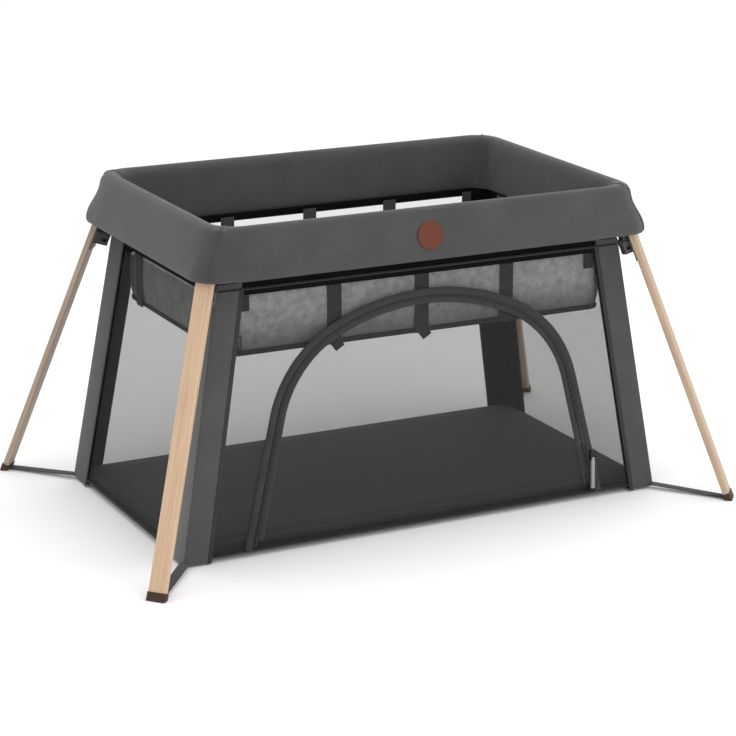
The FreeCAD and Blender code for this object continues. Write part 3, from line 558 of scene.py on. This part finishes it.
SLIDER_METAL = grained("black_lacquered_zip_slider", "202020", "2C2C2C", 0.5, 0.3, metal=0.6, depth=0.05)


def dress(piece, material, body=None):
    piece.data.materials.clear()
    piece.data.materials.append(material)
    if body:
        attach(piece, body)
    return piece


def crumple(piece):
    """Gives the piece a mesh of its own, not shared with any other object."""
    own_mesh(piece)


# Padded rail cover ---------------------------------------------------------

HEM_CORNER = 54
RAIL_RINGS = [
    (486, 310.5, 543), (487.5, 312, 549), (486, 312, 560), (480.5, 309.5, 574), (471, 304, 590),
    (463, 300.5, 606), (459.5, 299.5, 620), (457.5, 299, 630), (451, 295, 638.5), (440, 285, 642),
    (430, 276, 639.5), (425, 270.5, 632), (423.5, 268.5, 622), (422, 266.5, 600), (420.5, 264.5, 575),
    (419.5, 263, 550), (419, 262, 532), (420.5, 263.5, 528), (424, 267, 533), (425, 268, 550),
    (426, 269.5, 575), (427.5, 271, 600), (429, 273, 622), (432, 276, 632), (440, 285, 637.5),
    (449, 294, 633.5), (453.5, 296, 622), (457.5, 297, 607), (465.5, 300.5, 590), (475, 305, 574),
    (480.5, 307, 560), (482.5, 307.5, 549), (482, 307, 544),
]


def rail_corner(ring, share=0.5, out=0.0):
    """The point, in metres, that lies share of the way round a ring's corner at +x and +y, from the end side."""
    x, y, z = ring
    rx, ry = HEM_CORNER * x / RAIL_RINGS[0][0], HEM_CORNER * y / RAIL_RINGS[0][1]
    turn = math.pi / 2 * share
    return Vector((x - rx + (rx + out) * math.cos(turn), y - ry + (ry + out) * math.sin(turn), z)) * MM


def on_a_seam(point):
    """True at the hems, the four corner seams and the round patch, where the cover is stitched down."""
    low = point.z < 0.5455 or (abs(point.x) < 0.43 and abs(point.y) < 0.275 and point.z < 0.535)
    dx, dy = abs(point.x) - 0.44, abs(point.y) - 0.268
    patch_near = point.y < -0.28 and abs(point.x + 0.014) < 0.05 and 0.55 < point.z < 0.63
    return low or patch_near or (dx > -0.03 and dy > -0.03 and abs(dx - dy) < 0.007)


cover = pulled_band("rail_cover_cloth", HEM_CORNER, RAIL_RINGS, closed=True)
puffed(cover, 2.5 * MM, on_a_seam, pressure=3.0, frames=14)
settle(cover, rounds=1)
for piece, side in zip(halves(cover, ("rail_cover_soft_left", "rail_cover_soft_right")), SIDES):
    dress(piece, RAIL_CANVAS)
    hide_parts(f"rail_cover_{side}")
    if side == "left":
        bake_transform(piece)
        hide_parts("hinge_flaps")
    else:
        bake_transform(piece)


def drawn(name, points, closed=False, **settings):
    """A line through the points, drawn as a curve with those settings and made a mesh."""
    deselect()
    line = bpy.data.curves.new(name, "CURVE")
    for setting, value in settings.items():
        setattr(line, setting, value)
    spline = line.splines.new("POLY")
    spline.points.add(len(points) - 1)
    for knot, point in zip(spline.points, points):
        knot.co = (*point, 1)
    spline.use_cyclic_u = closed
    piece = bpy.data.objects.new(name, line)
    bpy.context.scene.collection.objects.link(piece)
    only(piece)
    bpy.ops.object.convert(target="MESH")
    piece = bpy.context.object
    piece.name = piece.data.name = name
    return piece


def tube_along(name, points, radius, sides=3):
    """A round cord of cloth through the points."""
    piece = drawn(name, points, dimensions="3D", bevel_depth=radius, bevel_resolution=sides, use_fill_caps=True)
    return smooth(piece, 60)


for side, sx in SIDES.items():
    for end, sy in ENDS.items():
        flip = Vector((sx, sy, 1))
        outer = [rail_corner(ring, 0.55, 0.5) * flip for ring in RAIL_RINGS[1:10]]
        inner = [rail_corner(ring, 0.5, -0.6) * flip for ring in RAIL_RINGS[10:17]]
        seam = tube_along(f"rail_seam_{end}_{side}", outer + inner, 1.0 * MM)
        dress(seam, RAIL_CANVAS, f"{side}_half")


# Walls ---------------------------------------------------------------------

FLOOR_X, FLOOR_Y = 519, 290  # half the length and half the width of the walls' feet
LEAN_X, LEAN_Y = 88, 31  # how far the ends and the long sides lean in over their height
WALL_HEIGHT, WALL_SLANT = 528, 529

# Where each wall stands, the way across it and the way up it.
WALLS = {
    "front": (Vector((0, -FLOOR_Y, 0)), Vector((1, 0, 0)), Vector((0, LEAN_Y, WALL_HEIGHT))),
    "back": (Vector((0, FLOOR_Y, 0)), Vector((-1, 0, 0)), Vector((0, -LEAN_Y, WALL_HEIGHT))),
    "left": (Vector((-FLOOR_X, 0, 0)), Vector((0, -1, 0)), Vector((LEAN_X, 0, WALL_HEIGHT))),
    "right": (Vector((FLOOR_X, 0, 0)), Vector((0, 1, 0)), Vector((-LEAN_X, 0, WALL_HEIGHT))),
}


def wall_place(wall):
    """The matrix that stands a flat piece, drawn in millimetres across and up, on that leaning wall, facing out."""
    origin, across, up = WALLS[wall]
    up = up.normalized()
    out = across.cross(up)
    turn = Matrix((across, up, out)).transposed().to_4x4()
    return Matrix.Translation(origin * MM) @ turn @ Matrix.Scale(MM, 4)


def cut_cloth(name, outline, wall, out=0.0, thickness=0.0, bevel=0.0):
    """A flat piece of cloth cut to an outline on a wall, out millimetres in front of it."""
    points = [(u, v, 0) for u, v in outline]
    piece = drawn(name, points, closed=True, dimensions="2D", fill_mode="BOTH")
    put(piece, wall_place(wall) @ Matrix.Translation((0, 0, out)))
    edit(piece)
    bpy.ops.mesh.select_all(action="SELECT")
    bpy.ops.mesh.remove_doubles(threshold=0.01 * MM)
    mesh = bmesh.from_edit_mesh(piece.data)
    out_way = WALLS[wall][1].cross(WALLS[wall][2])
    mesh.faces.ensure_lookup_table()
    if mesh.faces[0].normal.dot(out_way) < 0:
        bpy.ops.mesh.flip_normals()
    return settle(piece, thickness * MM, bevel * MM, offset=1.0)


# The door's arch is a crown of one radius, then a tighter shoulder, then a straight run down to its foot.
CROWN, CROWN_TURN, CROWN_HEIGHT = 450, 25, 10
SHOULDER, SHOULDER_TURN = 230, 77
SHOULDER_AT = (93.0, 209.4)


def arch(offset, foot, widen=0.0):
    """Half of the door's arch, from its crown down to the height of its foot, offset outwards from its edge.

    The line drifts outwards by widen from the start of its shoulder to its foot.
    """
    line = []
    for step in range(13):
        turn = math.radians(CROWN_TURN * step / 12)
        reach = CROWN + offset
        line.append((reach * math.sin(turn), CROWN_HEIGHT + reach * math.cos(turn)))
    for step in range(1, 21):
        turn = math.radians(CROWN_TURN + (SHOULDER_TURN - CROWN_TURN) * step / 20)
        reach = SHOULDER + offset + widen * step / 40
        line.append((SHOULDER_AT[0] + reach * math.sin(turn), SHOULDER_AT[1] + reach * math.cos(turn)))
    last = math.radians(SHOULDER_TURN)
    u, v = line[-1]
    run = (v - foot) / math.sin(last)
    line.append((u + run * math.cos(last) + widen * 0.5 * math.sin(last), foot))
    return line


POST_FRONT, POST_END = 52, 65  # a sleeve's reach along the long wall and along the end
WALL_TOP, BACK_TOP = 505, 518
NET_FOOT, NET_HELD = 12, 20  # where the nets start, and how far the posts cover their sides
DOOR_FOOT, DOOR_PANEL_FOOT = 16, 30
PIPING_FOOT, PULL_ROOM = 31, 122  # PULL_ROOM is the height below which the zip pull hangs
MESH_IN = -2.0


def edge_of_wall(wall, v):
    """How far a wall reaches to each side at the height v up it."""
    foot, lean = (FLOOR_X, LEAN_X) if wall in ("front", "back") else (FLOOR_Y, LEAN_Y)
    return foot - lean * v / WALL_SLANT


def net_reach(wall, v):
    return edge_of_wall(wall, v) - NET_HELD


def mirrored(line, sign):
    return [(sign * u, v) for u, v in line]


def stretched(outline):
    """Works out the area inside a flat piece's outline, in millimetres; nothing uses it."""
    turns = zip(outline, outline[1:] + outline[:1])
    area = abs(sum(u * b - a * v for (u, v), (a, b) in turns)) / 2


for side, sign in SIDES.items():
    opening = arch(0, DOOR_FOOT)
    outside = [(0, WALL_TOP), (0, opening[0][1])] + opening[1:] + [(0, DOOR_FOOT), (0, NET_FOOT)]
    outside += [(net_reach("front", v), v) for v in (NET_FOOT, WALL_TOP)]
    piece = cut_cloth(f"front_net_{side}", mirrored(outside, sign), "front", MESH_IN)
    dress(piece, SIDE_NET, f"{side}_half")
    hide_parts(f"front_wall_{side}")
    stretched(outside)
    crumple(piece)

    edge = arch(-10, DOOR_PANEL_FOOT)
    panel = [(0, DOOR_PANEL_FOOT), (0, edge[0][1])] + edge[1:]
    piece = cut_cloth(f"door_net_{side}", mirrored(panel, sign), "front", MESH_IN)
    dress(piece, SIDE_NET, f"door_{side}")
    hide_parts(f"door_{side}")
    stretched(panel)
    crumple(piece)

    across = [(0, NET_FOOT), (net_reach("back", NET_FOOT), NET_FOOT)]
    across += [(net_reach("back", BACK_TOP), BACK_TOP), (0, BACK_TOP)]
    piece = cut_cloth(f"back_net_{side}", mirrored(across, -sign), "back", MESH_IN)
    dress(piece, BACK_NET, f"{side}_half")
    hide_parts(f"back_wall_{side}")
    stretched(across)
    crumple(piece)

    low, high = net_reach(side, NET_FOOT), net_reach(side, WALL_TOP)
    wide = [(-low, NET_FOOT), (low, NET_FOOT), (high, WALL_TOP), (-high, WALL_TOP)]
    piece = cut_cloth(f"end_net_{side}", wide, side, MESH_IN)
    dress(piece, SIDE_NET, f"{side}_half")
    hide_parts(f"{side}_end_wall")
    stretched(wide)
    crumple(piece)


def bead(name, line, radius, wall, out, flat):
    """A piped bead that follows a line on a wall, pressed flat against it."""
    piece = tube_along(name, [(u, v, 0) for u, v in line], radius, sides=4)
    put(piece, wall_place(wall) @ Matrix.Translation((0, 0, out)) @ Matrix.Diagonal((1, 1, flat, 1)))
    return piece


for side, sign in SIDES.items():
    line = mirrored(arch(8.5, 14, 5.0), sign)
    outer = bead(f"arch_piping_{side}", line, 7.6, "front", 0.5, flat=0.3)
    dress(outer, DOOR_TAPE, f"{side}_half")
    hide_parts(f"door_binding_{side}")
    crumple(outer)
    line = mirrored(arch(-8.6, PIPING_FOOT if side == "left" else PULL_ROOM), sign)
    inner = bead(f"door_piping_{side}", line, 5.6, "front", 0.2, flat=0.25)
    if side == "right":  # a thinner edge where the door has to pass the zip pull
        narrow = [arch(-12.6, foot)[-1] for foot in (PIPING_FOOT, PULL_ROOM)]
        inner = joined("door_piping_right", inner, bead("door_piping_low", narrow, 2.6, "front", 0.2, flat=0.4))
    dress(inner, DOOR_TAPE, f"door_{side}")
    crumple(inner)
    line = mirrored(arch(-0.6, 20, 1.5), sign)
    coil = bead(f"arch_zip_coil_{side}", line, 3.6, "front", 0.6, flat=0.5)
    dress(coil, ZIP_COIL, f"{side}_half")
    crumple(coil)


# Corner posts ----------------------------------------------------------------


SLEEVE_FOOT = 5
SLEEVE_PUSH = (-87, -31, 523.5)


def post_sleeve(name, sx, sy, outer, thick, round_out):
    """An L-shaped sleeve round a corner post, pushed up along the post's lean."""
    x0, y0 = (FLOOR_X + outer) * MM, (FLOOR_Y + outer) * MM
    piece = sheet_of_cloth(name, POST_FRONT * MM / 2, thick * MM / 2, SLEEVE_FOOT * MM)
    bpy.ops.transform.translate(value=(x0 - POST_FRONT * MM / 2, y0 - thick * MM / 2, 0))
    corner_x = x0 - thick * MM
    pick(piece, lambda m: True, "FACE")
    bpy.ops.mesh.bisect(plane_co=(corner_x, 0, 0), plane_no=(1, 0, 0))
    pick(piece, lambda m: abs(m.y - (y0 - thick * MM)) < 1e-6 and m.x > corner_x, "EDGE")
    bpy.ops.mesh.extrude_edges_move(TRANSFORM_OT_translate={"value": (0, -(POST_END - thick) * MM, 0)})
    pick(piece, lambda m: abs(m.x - x0) < 1e-6 and abs(m.y - y0) < 1e-6, "VERT")
    bpy.ops.mesh.bevel(offset=round_out * MM, segments=6, affect="VERTICES")
    bpy.ops.mesh.select_all(action="SELECT")
    bpy.ops.mesh.remove_doubles(threshold=0.01 * MM)
    bpy.ops.mesh.extrude_region_move(TRANSFORM_OT_translate={"value": [v * MM for v in SLEEVE_PUSH]})
    close_outwards()
    put(piece, Matrix.Diagonal((sx, sy, 1, 1)))
    if sx * sy < 0:
        edit(piece)
        bpy.ops.mesh.select_all(action="SELECT")
        bpy.ops.mesh.flip_normals()
    return settle(piece, bevel=0.5 * MM)


def post_binding(name, wall, way, reach, side):
    """The tape along the edge of a corner post's sleeve on a wall. reach is the sleeve's, and way its sign across."""
    low, high, half = 2, 520, 4.5
    foot, top = (way * (edge_of_wall(wall, v) - reach + 2) for v in (low, high))
    line = [(foot - half, low), (foot + half, low), (top + half, high), (top - half, high)]
    tape = cut_cloth(name, line, wall, 0.4, 1.6, 0.3)
    dress(tape, BINDING_TAPE, f"{side}_half")
    crumple(tape)


for side, sx in SIDES.items():
    for end, sy in ENDS.items():
        sleeve = post_sleeve(f"post_sleeve_{end}_{side}", sx, sy, 1.5, 2.2, 12)
        dress(sleeve, POST_CANVAS, f"{side}_half")
        crumple(sleeve)
        if end == "front":
            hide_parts(f"{side}_corner_posts")
        # Painted shade: a black sleeve just inside each post's cloth stands in for the shade on the post's inner
        # faces, which are the same cloth as outside.
        shade_sleeve = post_sleeve(f"post_shade_sleeve_{end}_{side}", sx, sy, -3.5, 6.0, 9)
        dress(shade_sleeve, BLACK_TAFFETA_AND_SHADE, f"{side}_half")
        crumple(shade_sleeve)
        long_wall, way = ("front", sx) if end == "front" else ("back", -sx)
        post_binding(f"post_binding_{end}_{side}", long_wall, way, POST_FRONT, side)
        post_binding(f"post_end_binding_{end}_{side}", side, -sy if side == "left" else sy, POST_END, side)


# Zip under the rail, base and mat ------------------------------------------

ZIP_RINGS = [(435.8, 261.3, 504), (431, 259.4, 531), (428, 256.4, 531), (432.8, 258.3, 504)]
tape = pulled_band("zip_tape_cloth", 14, ZIP_RINGS, closed=True, spacing=40 * MM, turns=4)
edit(tape)
pick(tape, lambda m: m.y > 0.24 and m.z < 0.51)  # the strip along the back is narrower
bpy.ops.transform.translate(value=(0, 0, (BACK_TOP - WALL_TOP) * MM))
settle(tape, bevel=0.4 * MM)
for piece, side in zip(halves(tape, ("zip_tape_soft_left", "zip_tape_soft_right")), SIDES):
    dress(piece, BLACK_TAFFETA_AND_SHADE, f"{side}_half")
    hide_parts(f"zip_tape_{side}")
    crumple(piece)



def edge_cord(name, side, quarter, height, radius):
    """A cord round one half of the pen at one height. quarter is the front part, from the fold line to the end."""
    line = quarter + [(x, -y) for x, y in reversed(quarter)]
    return tube_along(name, [Vector((SIDES[side] * x, y, height)) * MM for x, y in line], radius * MM)


for side in SIDES:
    quarter = [(0.5, -262.2), (422, -262.2), (430, -261), (434.5, -254)]
    coil = edge_cord(f"rail_zip_coil_{side}", side, quarter, 516, 2.2)
    dress(coil, ZIP_COIL, f"{side}_half")
    crumple(coil)

BASE_RINGS = [(462, 232, 0.5), (490, 262, 3.5), (508, 281, 9), (512, 284, 12), (510, 282, 15), (505, 277, 16)]


def slab(name, corner, rings):
    """A flat pad closed top and bottom, pulled through rounded rectangles."""
    piece = pulled_band(name, corner, rings, closed=False, spacing=40 * MM, turns=6)
    edit(piece)
    for height in (rings[0][2], rings[-1][2]):
        pick(piece, lambda m: abs(m.z - height * MM) < 0.1 * MM, "EDGE")
        bpy.ops.mesh.edge_face_add()
    close_outwards()
    return piece


base = slab("base_cloth", 24, BASE_RINGS)
for piece, side in zip(halves(base, ("base_cloth_left", "base_cloth_right"), gap=0.1 * MM), SIDES):
    dress(piece, BASE_CLOTH, f"{side}_half")
    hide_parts(f"base_{side}")
    crumple(piece)
for side in SIDES:
    quarter = [(0.3, -287), (503, -287), (511, -283), (515, -275)]
    piping = edge_cord(f"base_piping_{side}", side, quarter, 13, 2.6)
    dress(piping, BASE_CLOTH, f"{side}_half")
    crumple(piping)


def remeshed(piece, size):
    """The piece with an even grid of faces, so that it swells evenly."""
    only(piece)
    grid = piece.modifiers.new("grid", "REMESH")
    grid.mode, grid.voxel_size = "VOXEL", size
    bpy.ops.object.modifier_apply(modifier=grid.name)
    return piece


MAT_RINGS = [(499, 270, 12.5), (503, 274, 14), (504, 275, 20), (503, 274, 26), (498, 269, 28)]
mat = remeshed(slab("mat_cloth", 38, MAT_RINGS), 6 * MM)
puffed(mat, 3 * MM, lambda p: p.z < 0.016 or abs(p.x) > 0.497 or abs(p.y) > 0.268, frames=12)
for piece, side in zip(halves(mat, ("mat_pad_left", "mat_pad_right"), gap=0.1 * MM), SIDES):
    dress(piece, MAT_CLOTH, f"{side}_half")
    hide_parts(f"mat_{side}")
    crumple(piece)


# Bassinet --------------------------------------------------------------------

TUB_CORNER = 24
SIDE_END = 0.384  # where the pale side cloth meets the dark end cloth
BACK_EDGE = 478


def fold_in(piece):
    """Gives the piece a mesh of its own, not shared with any other object."""
    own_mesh(piece)


SIDE_RINGS = [
    (404, 241, 386), (409, 245, 400), (412, 247, 425), (412.5, 247.5, 455), (410, 246, BACK_EDGE), (409, 245, 506),
]
tub = pulled_band("bassinet_side_cloth", TUB_CORNER, SIDE_RINGS, closed=False, spacing=20 * MM, turns=6)
edit(tub)
pick(tub, lambda m: m.y > 0.2 and m.z > BACK_EDGE * MM, "FACE")
bpy.ops.mesh.delete(type="FACE")
pick(tub, lambda m: abs(m.x) > SIDE_END, "FACE")
bpy.ops.mesh.separate(type="SELECTED")
bpy.ops.object.mode_set(mode="OBJECT")
ends_cloth = [o for o in bpy.context.selected_objects if o is not tub][0]
ends_cloth.name = ends_cloth.data.name = "bassinet_ends"
settle(tub, thickness=1.6 * MM, offset=-1.0, rounds=1)
settle(ends_cloth, thickness=1.6 * MM, offset=-1.0, rounds=1)
tub.name = tub.data.name = "bassinet_sides"
dress(tub, BASSINET_KNIT, "bassinet")
dress(ends_cloth, BASSINET_END, "bassinet")
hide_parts("bassinet_tub")
fold_in(tub)
fold_in(ends_cloth)

FLOOR_RINGS = [(403, 240, 385), (404.5, 241.5, 386.5), (404.5, 241.5, 390), (403, 240, 392)]
floor_cloth = slab("bassinet_floor", TUB_CORNER, FLOOR_RINGS)
settle(floor_cloth)
dress(floor_cloth, BLACK_TAFFETA_AND_SHADE, "bassinet")
fold_in(floor_cloth)

BOUND_RINGS = [(406, 243.2, 383), (408.4, 245.6, 385), (408.8, 246, 391), (407, 244.2, 394), (404.6, 241.8, 388)]
bound = pulled_band(
    "bassinet_bottom_binding", TUB_CORNER, BOUND_RINGS, closed=True, spacing=40 * MM, turns=6
)
settle(bound)
dress(bound, BINDING_TAPE, "bassinet")
fold_in(bound)

PAD_RINGS = [(394, 231, 393.5), (398, 235, 396), (399, 236, 402), (398, 235, 408), (393, 230, 411)]
pad = slab("bassinet_mattress_pad", 20, PAD_RINGS)
remeshed(pad, 6 * MM)
puffed(pad, 5 * MM, lambda p: p.z < 0.397 or abs(p.x) > 0.396 or abs(p.y) > 0.233, frames=12)
smooth(pad)
dress(pad, MATTRESS_KNIT, "bassinet")
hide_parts("bassinet_mattress")
fold_in(pad)


# Straps ------------------------------------------------------------------------


def strap(name, start, finish, width, thick, facing):
    """A flat strap from start to finish, in millimetres, with its UV map in metres along and across it."""
    start, finish = Vector(start) * MM, Vector(finish) * MM
    length = (finish - start).length
    piece = sheet_of_cloth(name, length / 2, width * MM / 2, 0)
    bpy.ops.mesh.subdivide(number_cuts=3)
    bpy.ops.object.mode_set(mode="OBJECT")
    for spot in piece.data.uv_layers[0].data:
        spot.uv = (spot.uv[0] * length, spot.uv[1] * width * MM)
    along = (finish - start).normalized()
    across = Vector(facing).cross(along).normalized()
    turn = Matrix((along, across, along.cross(across))).transposed().to_4x4()
    put(piece, Matrix.Translation((start + finish) / 2) @ turn)
    return settle(piece, thickness=thick * MM, bevel=0.5 * MM, offset=0.0)


STRAP_PITCH, STRAP_FOOT, STRAP_WIDTH = 187, 384, 30
SHORT_FOOT, SHORT_WIDTH = 470, 22  # the outermost straps are short and narrow

straps = []
for sy in ENDS.values():
    for step in range(-2, 3):
        x = step * STRAP_PITCH
        wide, foot = (SHORT_WIDTH, SHORT_FOOT) if abs(step) == 2 else (STRAP_WIDTH, STRAP_FOOT)
        low, high = (x, sy * 249.2, foot), (x, sy * 247.4, 526)
        straps.append(strap(f"strap_{sy}_{x}", low, high, wide, 1.6, (0, sy, 0)))
    for x in (-STRAP_PITCH, 0):  # a folded tail hangs from two of them
        low, high = (x + 2, sy * 248.5, 389), (x + 9, sy * 256, 377)
        straps.append(strap(f"strap_tail_{sy}_{x}", low, high, 22, 2.4, (0, sy, 0.4)))
for sx in SIDES.values():
    for y in (-170, 170):
        low, high = (sx * 414, y, STRAP_FOOT), (sx * 414, y, 528)
        straps.append(strap(f"strap_end_{sx}_{y}", low, high, STRAP_WIDTH, 1.6, (sx, 0, 0)))
webs = joined("bassinet_webbing", *straps)
dress(webs, STRAP_WEBBING, "bassinet")
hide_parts("bassinet_straps")
fold_in(webs)

# A zip's end shows as a short loop low on the bassinet's front left corner.
loop = [(-388, 390), (-388, 424), (-381, 424), (-381, 390)]
zip_loop = tube_along("bassinet_zip_loop", [Vector((x, -250.5, z)) * MM for x, z in loop], 1.3 * MM)
dress(zip_loop, ZIP_COIL, "bassinet")
fold_in(zip_loop)

# For the corner at +x and +y.
LEG_TOP, LEG_FOOT = Vector((447.8, 260.3, 580)), Vector((624, 412, 0))
WEB_TOP, WEB_FOOT = Vector((516, 286, 9)), Vector((615, 405, 3))
CORNERS = [(side, end, Vector((sx, sy, 1))) for side, sx in SIDES.items() for end, sy in ENDS.items()]

for side, end, flip in CORNERS:
    web = strap(f"foot_webbing_{end}_{side}", WEB_TOP * flip, WEB_FOOT * flip, 20, 1.8, (0, 0, 1))
    dress(web, STRAP_WEBBING, f"{side}_half")
    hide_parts(f"{end}_{side}_foot_strap")
    crumple(web)


# Leather patch -------------------------------------------------------------------

PATCH_AT, PATCH_LEAN = Vector((-14, -305.6, 590)), 15

deselect()
bpy.ops.mesh.primitive_cylinder_add(vertices=72, radius=27 * MM, depth=3 * MM)
patch = bpy.context.object
patch.name = patch.data.name = "round_leather_patch"
edit(patch)
pick(patch, lambda m: m.z > 1.4 * MM, "FACE")
bpy.ops.mesh.inset(thickness=2.6 * MM)
bpy.ops.mesh.inset(thickness=0.8 * MM)
bpy.ops.transform.translate(value=(0, 0, -0.5 * MM))
bpy.ops.mesh.inset(thickness=5.5 * MM)
bpy.ops.transform.translate(value=(0, 0, 0.4 * MM))
bpy.ops.object.mode_set(mode="OBJECT")
settle(patch, bevel=0.5 * MM)
lean = Matrix.Rotation(math.radians(90 - PATCH_LEAN), 4, "X")
put(patch, Matrix.Translation(PATCH_AT * MM) @ lean)
dress(patch, PATCH_LEATHER, "hinge_link")
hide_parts("leather_patch")


# The frame's own pieces ------------------------------------------------------------


def finish_nodes(material, *names):
    for name in names:
        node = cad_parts[name]
        node.data.materials.clear()
        node.data.materials.append(material)


finish_nodes(FRAME_STEEL, "left_frame_tube", "right_frame_tube")
finish_nodes(PIN_STEEL, "hinge_pins", "left_leg_pins", "right_leg_pins")
finish_nodes(HINGE_NYLON, "front_hinge_link", "back_hinge_link")
finish_nodes(HINGE_NYLON, *[f"{face}_{side}_hinge_end" for face in ("front", "back") for side in SIDES])
finish_nodes(BUTTON_NYLON, "front_lock_button", "back_lock_button")
finish_nodes(SLIDER_METAL, "door_zip_slider")
finish_nodes(PULL_TAPE, "door_zip_pull")
for name in ("door_zip_slider", "door_zip_pull"):
    crumple(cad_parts[name])
# Each leg's own pale and deep colour of wood.
TONES = {
    ("left", "front"): ("CAAE92", "BC9C7E"),
    ("left", "rear"): ("AC9A88", "9A8674"),
    ("right", "front"): ("B8A288", "AA9078"),
    ("right", "rear"): ("C2AC98", "AE9682"),
}
for side, end, flip in CORNERS:
    wood = beech(f"oiled_beech_{end}_{side}", (LEG_FOOT - LEG_TOP) * flip, *TONES[side, end])
    finish_nodes(wood, f"{end}_{side}_leg")
    finish_nodes(HINGE_NYLON, f"{end}_{side}_leg_bracket", f"{end}_{side}_leg_head")
    finish_nodes(FOOT_RUBBER, f"{end}_{side}_foot_cap")


# Floor and sky -----------------------------------------------------------------------

deselect()
bpy.ops.mesh.primitive_plane_add(size=24, location=(0, 0, -0.0005))
ground = bpy.context.object
ground.name = "studio_floor"
paper = blank("white_paper_backdrop", **{"Base Color": linear("FDFDFD"), "Roughness": 0.9})[0]
ground.data.materials.append(paper)
ground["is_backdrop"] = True
world = bpy.data.worlds.new("studio")
bpy.context.scene.world = world
world.use_nodes = True
sky = world.node_tree.nodes["Background"]
sky.inputs[0].default_value = (1, 1, 1, 1)
sky.inputs[1].default_value = 1.0
bpy.context.scene.view_settings.view_transform = "Standard"

deselect()
low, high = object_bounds()
